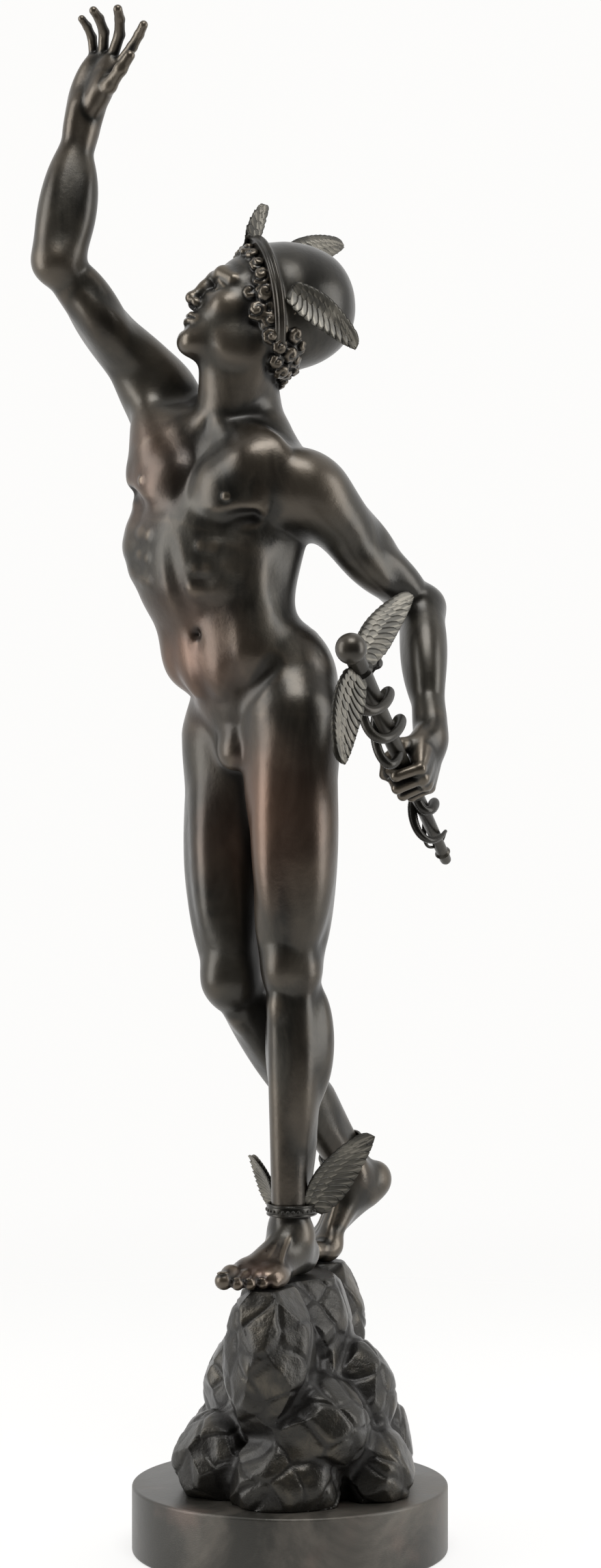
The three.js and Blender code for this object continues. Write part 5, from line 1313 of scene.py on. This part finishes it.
def wing_row(quill, count, tip, base, reach, lift, overlap, flipped):
    """A row of quills on one face, from the root's to the tip's, each laid over the next."""
    share = wings.node("GeometryNodeInputIndex") / (count - 1)
    tip_u = share * 0.85 + 0.125
    base_u = share * reach + 0.02
    across_tip = wing_full(tip_u) * wing_width * (tip * 0.5 - abs(tip) * 0.08)
    across_base = wing_full(base_u) * wing_width * (base * 0.5 - abs(base) * 0.08)
    along = (tip_u - base_u) * wing_length
    rise = across_tip - across_base
    reach_length = (along * along + rise * rise) ** 0.5
    turn = wings.math("ARCTAN2", rise, along)
    side = -1 if flipped else 1
    place = wings.vector(base_u * wing_length, across_base, wing_thickness * (side * lift))
    points = wings.node("GeometryNodePoints", None, {"Count": count, "Position": place})
    roll = (math.pi if flipped else 0) + wings.size("Turn") * side
    sockets = {
        "Points": points,
        "Instance": quill,
        "Rotation": wings.vector(roll, 0.0, turn),
        "Scale": wings.vector(reach_length, wing_length * overlap / count, wing_thickness * 0.34),
    }
    return wings.node("GeometryNodeInstanceOnPoints", None, sockets)


blade_cube, blade_u, blade_v, blade_t = pillow(wings, 25, 9)
blade_u = blade_u * 0.975
edge = wings.math("MAXIMUM", 1 - blade_v * blade_v, 0.0) ** 0.5
blade_place = wings.vector(
    wing_length * blade_u,
    wing_width * wing_full(blade_u) * wing_chord(blade_v) * 0.94,
    wing_thickness * blade_t * edge * (1 - blade_u * 0.5) * 0.32,
)
# The blade is given painted shade, as it shows only in the gaps between the feathers.
blade = wings.moved(wings.keep(blade_cube, "painted_shade", 0.55), blade_place)

quill_cube, quill_u, quill_v, quill_t = pillow(wings, 9, 7)
quill_side = wings.math("ABSOLUTE", quill_v)
quill_edge = wings.math("MAXIMUM", 1 - quill_v * quill_v, 0.0) ** 0.5
quill_half = (1 - quill_u**5) ** 0.5 * (wings.math("MINIMUM", quill_u * 2.5, 1.0) * 0.5 + 0.5) * 0.5
quill_ridge = (1 - quill_side) ** 3
quill_place = wings.vector(
    quill_u,
    quill_v * quill_half,
    quill_t * (quill_edge * 0.32 + quill_ridge * 0.2) * (1 - quill_u * 0.45) + quill_side * quill_side * -0.12,
)
# Painted shade at each quill's edges and towards its root, where the quills overlap.
quill_shade = wings.math("MAXIMUM", quill_side**4 * 0.7, 1 - quill_u * 3.2)
quill = wings.keep(quill_cube, "painted_shade", quill_shade)
quill = wings.keep(quill, "worn", quill_ridge * 0.6)
quill = wings.moved(quill, quill_place)
quill = wings.node("GeometryNodeMergeByDistance", None, {0: quill, "Distance": 0.0001})

quill_count = wings.size("Quills")
feather_rows = [wings.node("GeometryNodeMergeByDistance", None, {0: blade, "Distance": 0.00001})]
for flipped in (False, True):
    feather_rows.append(wing_row(quill, quill_count, -1.0, 0.35, 0.5, 0.16, 1.6, flipped))
    feather_rows.append(wing_row(quill, quill_count, -0.12, 0.7, 0.6, 0.27, 1.7, flipped))
    feather_rows.append(wing_row(quill, quill_count + 2, 0.45, 0.98, 0.76, 0.36, 1.9, flipped))
flat_wing = wings.node("GeometryNodeRealizeInstances", None, {0: wings.joined(feather_rows)})
flat_x, flat_y, flat_z = wings.parts(wings.node("GeometryNodeInputPosition"))
out_share = flat_x / wing_length
across_share = flat_y / (wing_width * 0.5)
curled = wings.vector(
    flat_x,
    flat_y - wings.size("Sweep") * wing_length * out_share * out_share,
    flat_z + wings.size("Curl") * wing_length * (out_share * out_share + across_share * across_share * 0.3),
)
dull = Bronze("dull_wing_bronze", metallic=0.6, coat=0.2, coat_roughness=0.3)
feather_shade = dull.node("ShaderNodeAttribute", {"attribute_name": "painted_shade"}, None, 2)
shaft = dull.node("ShaderNodeAttribute", {"attribute_name": "worn"}, None, 2)
haze = dull.cloud(60, 4, 0.6, 0.5)
feather = dull.mixed(dull.ease(haze, 0.35, 0.7), (0.045, 0.042, 0.034, 1), (0.13, 0.12, 0.098, 1))
feather = dull.mixed(dull.ease(shaft, 0.2, 0.6) * 0.5, feather, (0.24, 0.22, 0.18, 1))
# Painted shade: the feathers turn near black where they overlap, and the blade between them darkens.
feather = dull.mixed(dull.ease(feather_shade, 0.25, 0.8) * 0.8, feather, (0.012, 0.011, 0.009, 1))
dull.feed("Base Color", feather)
dull.feed("Roughness", 0.36 + 0.15 * haze + 0.15 * feather_shade)
wings.finished(wings.moved(flat_wing, curled), dull.material)

WING_THICKNESS = 0.0032


def wing(name, root, way, lead, outward, sizes, node):
    """A wing at its root, with its leading edge towards lead and its outer face outward."""
    along = unit(way)
    leading = unit(lead - (lead @ along) * along)
    face = np.cross(along, leading)
    if face @ outward < 0:
        face = -face
    made = wings.grown(name, {"Thickness": WING_THICKNESS, **sizes})
    stood(made, root, along, leading, face)
    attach(made, "root")
    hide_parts(node)
    return made


def seated_wing(name, frame, out, root, way, lead, sizes, node):
    """A wing on one side of a frame: 1 is the figure's right side, and -1 its left."""
    outward = frame.side * out
    place = frame.at(out * root[0] * STATURE, root[1] * STATURE, root[2] * STATURE)
    heading = outward * way[0] + frame.front * way[1] + frame.up * way[2]
    return wing(name, place, heading, lead, outward, sizes, node)


hat_wing_length = 0.086 * STATURE
hat_wing_sizes = {"Length": hat_wing_length, "Width": 0.36 * hat_wing_length, "Sweep": 0.26, "Curl": 0.12}
HAT_WINGS = [
    # node, side, root, way
    ("hat_wing_right", 1, (0.022, 0.044, 0.036), (0.3, 0.45, 0.8)),
    ("hat_wing_left", -1, (0.0505, 0.004, 0.012), (0.3, -0.58, 0.7)),
]
for name, out, root, way in HAT_WINGS:
    lead = dome.front * 0.75 + dome.up * (0.15 if out > 0 else 0.6)
    seated_wing(name + "_feathers", dome, out, root, way, lead, hat_wing_sizes, name)

left_shin = metres(limb_frame(left.ankle, left.knee, left.toes_out))
for name, out, share in (("left_ankle_wing_outer", -1, 1), ("left_ankle_wing_inner", 1, 0.62)):
    length = 0.092 * STATURE * share
    sizes = {"Length": length, "Width": 0.4 * length, "Sweep": 0.2, "Curl": 0.1}
    root, way = (0.0205, -0.006, 0.024), (0.45, -0.25, 1)
    seated_wing(name + "_feathers", left_shin, out, root, way, left_shin.up, sizes, name)

leaf_sizes = {"Length": 0.042 * STATURE, "Width": 0.024 * STATURE, "Sweep": 0.0, "Curl": -0.1, "Quills": 5}
leaf_root = dome.at(0, 0.058 * STATURE, -0.003 * STATURE)
leaf_way = dome.front + dome.up * 0.4
leaf_lead = dome.side * 0.7 + dome.up * 0.8
wing("hat_leaf", leaf_root, leaf_way, leaf_lead, dome.front, leaf_sizes, "figure")


# Each ankle wears a cast band: a flat strap between two rolled rims, with a row of beads on it.
bands = Growth("beaded_band", {"Radius": 0.0128, "Depth": 1.12, "Height": 0.0056, "Rim": 0.0009, "Beads": 30})
band_radius, band_height, band_rim = (bands.size(k) for k in ("Radius", "Height", "Rim"))


def band_ring(radius, height, half_thick, half_high, sides):
    """A closed ring round the ankle, longer from front to back than from side to side."""
    circle = bands.node("GeometryNodeCurvePrimitiveCircle", None, {"Resolution": 72, "Radius": radius})
    x, y, z = bands.parts(bands.node("GeometryNodeInputPosition"))
    oval = bands.moved(circle, bands.vector(x, y * bands.size("Depth"), height))
    profile = bands.node("GeometryNodeCurvePrimitiveCircle", None, {"Resolution": sides, "Radius": 1.0})
    thick = bands.moved(profile, bands.vector(x * half_thick, y * half_high, 0.0))
    return bands.node("GeometryNodeCurveToMesh", None, {"Curve": oval, "Profile Curve": thick})


bead_circle = bands.node(
    "GeometryNodeCurvePrimitiveCircle", None, {"Resolution": bands.size("Beads"), "Radius": band_radius + 0.0008}
)
bead_x, bead_y, bead_z = bands.parts(bands.node("GeometryNodeInputPosition"))
bead_oval = bands.moved(bead_circle, bands.vector(bead_x, bead_y * bands.size("Depth"), 0.0))
bead = bands.node("GeometryNodeMeshUVSphere", None, {"Segments": 10, "Rings": 6, "Radius": band_rim * 1.15})
beads = bands.node("GeometryNodeInstanceOnPoints", None, {"Points": bead_oval, "Instance": bead})
band_parts = [
    band_ring(band_radius, 0.0, 0.0011, band_height * 0.5, 16),
    band_ring(band_radius + 0.0003, band_height * 0.45, band_rim, band_rim, 12),
    band_ring(band_radius + 0.0003, band_height * -0.45, band_rim, band_rim, 12),
    beads,
]
bands.finished(bands.joined(band_parts), patina.material)

for name, limb in (("ankle_band_left", left), ("ankle_band_right", right)):
    shin = metres(limb_frame(limb.ankle, limb.knee, limb.knee_front))
    band = bands.grown(name, {"Radius": 0.0213 * STATURE})
    stood(band, shin.at(0, -0.003 * STATURE, 0.024 * STATURE), shin.side, shin.front, shin.up)
    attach(band, "root")
    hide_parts("figure")


# The caduceus runs through the fist: a tapered rod with a ball, turned in one.
ROD_BELOW, ROD_ABOVE = 0.082, 0.11
ROD_TAIL, ROD_TOP = 0.0032, 0.0055
BALL = 0.0085
staff = metres(Frame(grip, staff_way, left_hand.front))


def rod_radius(z):
    return ROD_TAIL + (ROD_TOP - ROD_TAIL) * (z + ROD_BELOW) / (ROD_BELOW + ROD_ABOVE)


rod_path = [(0, -ROD_BELOW)]
for k in range(5):
    a = math.pi / 2 * k / 4
    rod_path.append((ROD_TAIL * math.sin(a), -ROD_BELOW + ROD_TAIL * (1 - math.cos(a))))
for place, bulge in ((-0.074, 0.0), (-0.0725, 0.0012), (-0.071, 0.0), (0.09, 0.0), (0.092, 0.0016), (0.094, 0.0)):
    rod_path.append((rod_radius(place) + bulge, place))
rod_path.append((rod_radius(0.1), 0.1))
for k in range(15):
    a = math.radians(-50 + 140 * k / 14)
    rod_path.append((BALL * math.cos(a) if k < 14 else 0, ROD_ABOVE + BALL * math.sin(a)))
rod = lathe("caduceus_rod", rod_path, 40)
stood(rod, staff.origin, staff.side, staff.front, staff.up)
rod.data.materials.append(patina.material)
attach(rod, "root")
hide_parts("caduceus")


# Two snakes twine round the rod, and close in on it where the hand holds them. Each is a tube
# along its winding path, and its scales are a diamond pattern raised on the tube.
snakes = Growth(
    "twined_snake",
    {"Turn": 1.0, "Girth": 0.0026, "Coil Radius": 0.0155, "Coil Pitch": 0.048, "Grip Half": 0.0174, "Scale Height": 0.1},
)
SNAKE_STEPS, SNAKE_SIDES = 460, 22
TAIL_END, NECK_END = -0.8 * ROD_BELOW, 0.77 * ROD_ABOVE
snake_line = snakes.node(
    "GeometryNodeCurvePrimitiveLine", None, {"Start": (0, 0, TAIL_END), "End": (0, 0, NECK_END)}
)
snake_path = snakes.node("GeometryNodeResampleCurve", None, {"Curve": snake_line, "Count": SNAKE_STEPS})
snake_z = snakes.parts(snakes.node("GeometryNodeInputPosition"))[2]
off_grip = snakes.math("ABSOLUTE", snake_z)
opened = snakes.ease(off_grip, snakes.size("Grip Half"), snakes.size("Grip Half") + 0.013)
fade = snakes.ease(snake_z, TAIL_END - 0.002, TAIL_END + 0.012)
phase = (snake_z - snakes.size("Grip Half")) / snakes.size("Coil Pitch") * (2 * math.pi)
below = snakes.math("LESS_THAN", snake_z, 0.0)
wide = ((1 - below * 0.2) * snakes.size("Coil Radius") * opened + (1 - opened) * 0.0003) * fade
rod_here = (snake_z + ROD_BELOW) * ((ROD_TOP - ROD_TAIL) / (ROD_BELOW + ROD_ABOVE)) + ROD_TAIL
deep = (rod_here + snakes.size("Girth") * 0.9) * opened + (1 - opened) * 0.0003
snake_turn = snakes.size("Turn")
snake_place = snakes.vector(
    snake_turn * wide * snakes.math("SINE", phase), snake_turn * deep * snakes.math("COSINE", phase), snake_z
)
snake_path = snakes.moved(snake_path, snake_place)
along_snake = snakes.node("GeometryNodeSplineParameter")
head_bulge = snakes.math("EXPONENT", ((along_snake - 0.965) / 0.022) ** 2 * -1.0) * 0.35 + 1
ends = snakes.math("MINIMUM", along_snake / 0.22, 1.0) ** 0.7
ends = ends * snakes.math("MINIMUM", (1 - along_snake) / 0.025 + 0.3, 1.0)
girth = snakes.size("Girth") * snakes.math("MAXIMUM", ends, 0.28) * head_bulge
step_index = snakes.node("GeometryNodeInputIndex")
snake_path = snakes.keep(snake_path, "step", step_index)
snake_ring = snakes.node("GeometryNodeCurvePrimitiveCircle", None, {"Resolution": SNAKE_SIDES, "Radius": 1.0})
snake_ring = snakes.keep(snake_ring, "side", step_index)
tube_sockets = {"Curve": snake_path, "Profile Curve": snake_ring, "Scale": girth, "Fill Caps": True}
snake_tube = snakes.node("GeometryNodeCurveToMesh", None, tube_sockets)
along_index = snakes.node("GeometryNodeInputNamedAttribute", {"data_type": "FLOAT"}, {"Name": "step"})
side_index = snakes.node("GeometryNodeInputNamedAttribute", {"data_type": "FLOAT"}, {"Name": "side"})
diamond = snakes.math("MODULO", along_index + side_index, 2.0)
snake_normal = snakes.node("GeometryNodeInputNormal")
raised = snakes.node(
    "ShaderNodeVectorMath",
    {"operation": "SCALE"},
    {0: snake_normal, "Scale": (diamond - 0.5) * snakes.size("Scale Height") * snakes.size("Girth")},
)
scaled_tube = snakes.node("GeometryNodeSetPosition", None, {"Geometry": snake_tube, "Offset": raised})
# The sunk scales carry painted shade, which darkens them.
scaled_tube = snakes.keep(scaled_tube, "painted_shade", (1 - diamond) * 0.5)
snakes.finished(scaled_tube, patina.material)

for name, turn in (("snake_right", 1.0), ("snake_left", -1.0)):
    snake = snakes.grown(name, {"Turn": turn})
    stood(snake, staff.origin, staff.side, staff.front, staff.up)
    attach(snake, "root")
    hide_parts("caduceus")

staff_wing_length = 0.0563
staff_wing_sizes = {"Length": staff_wing_length, "Width": 0.34 * staff_wing_length, "Sweep": 0.22, "Curl": 0.04}
for name, sign in (("staff_wing_upper", 1), ("staff_wing_lower", -1)):
    lift = vec(0.39, 0.62, 0.92) * sign
    heading = unit(lift - (lift @ staff.up) * staff.up)
    root = staff.at(0, 0, ROD_ABOVE - 1.8 * BALL) + heading * ROD_TOP * 0.6
    wing(name, root, heading, vec(-0.76, -0.35, 0.55), vec(0, -1, 0), staff_wing_sizes, "caduceus")
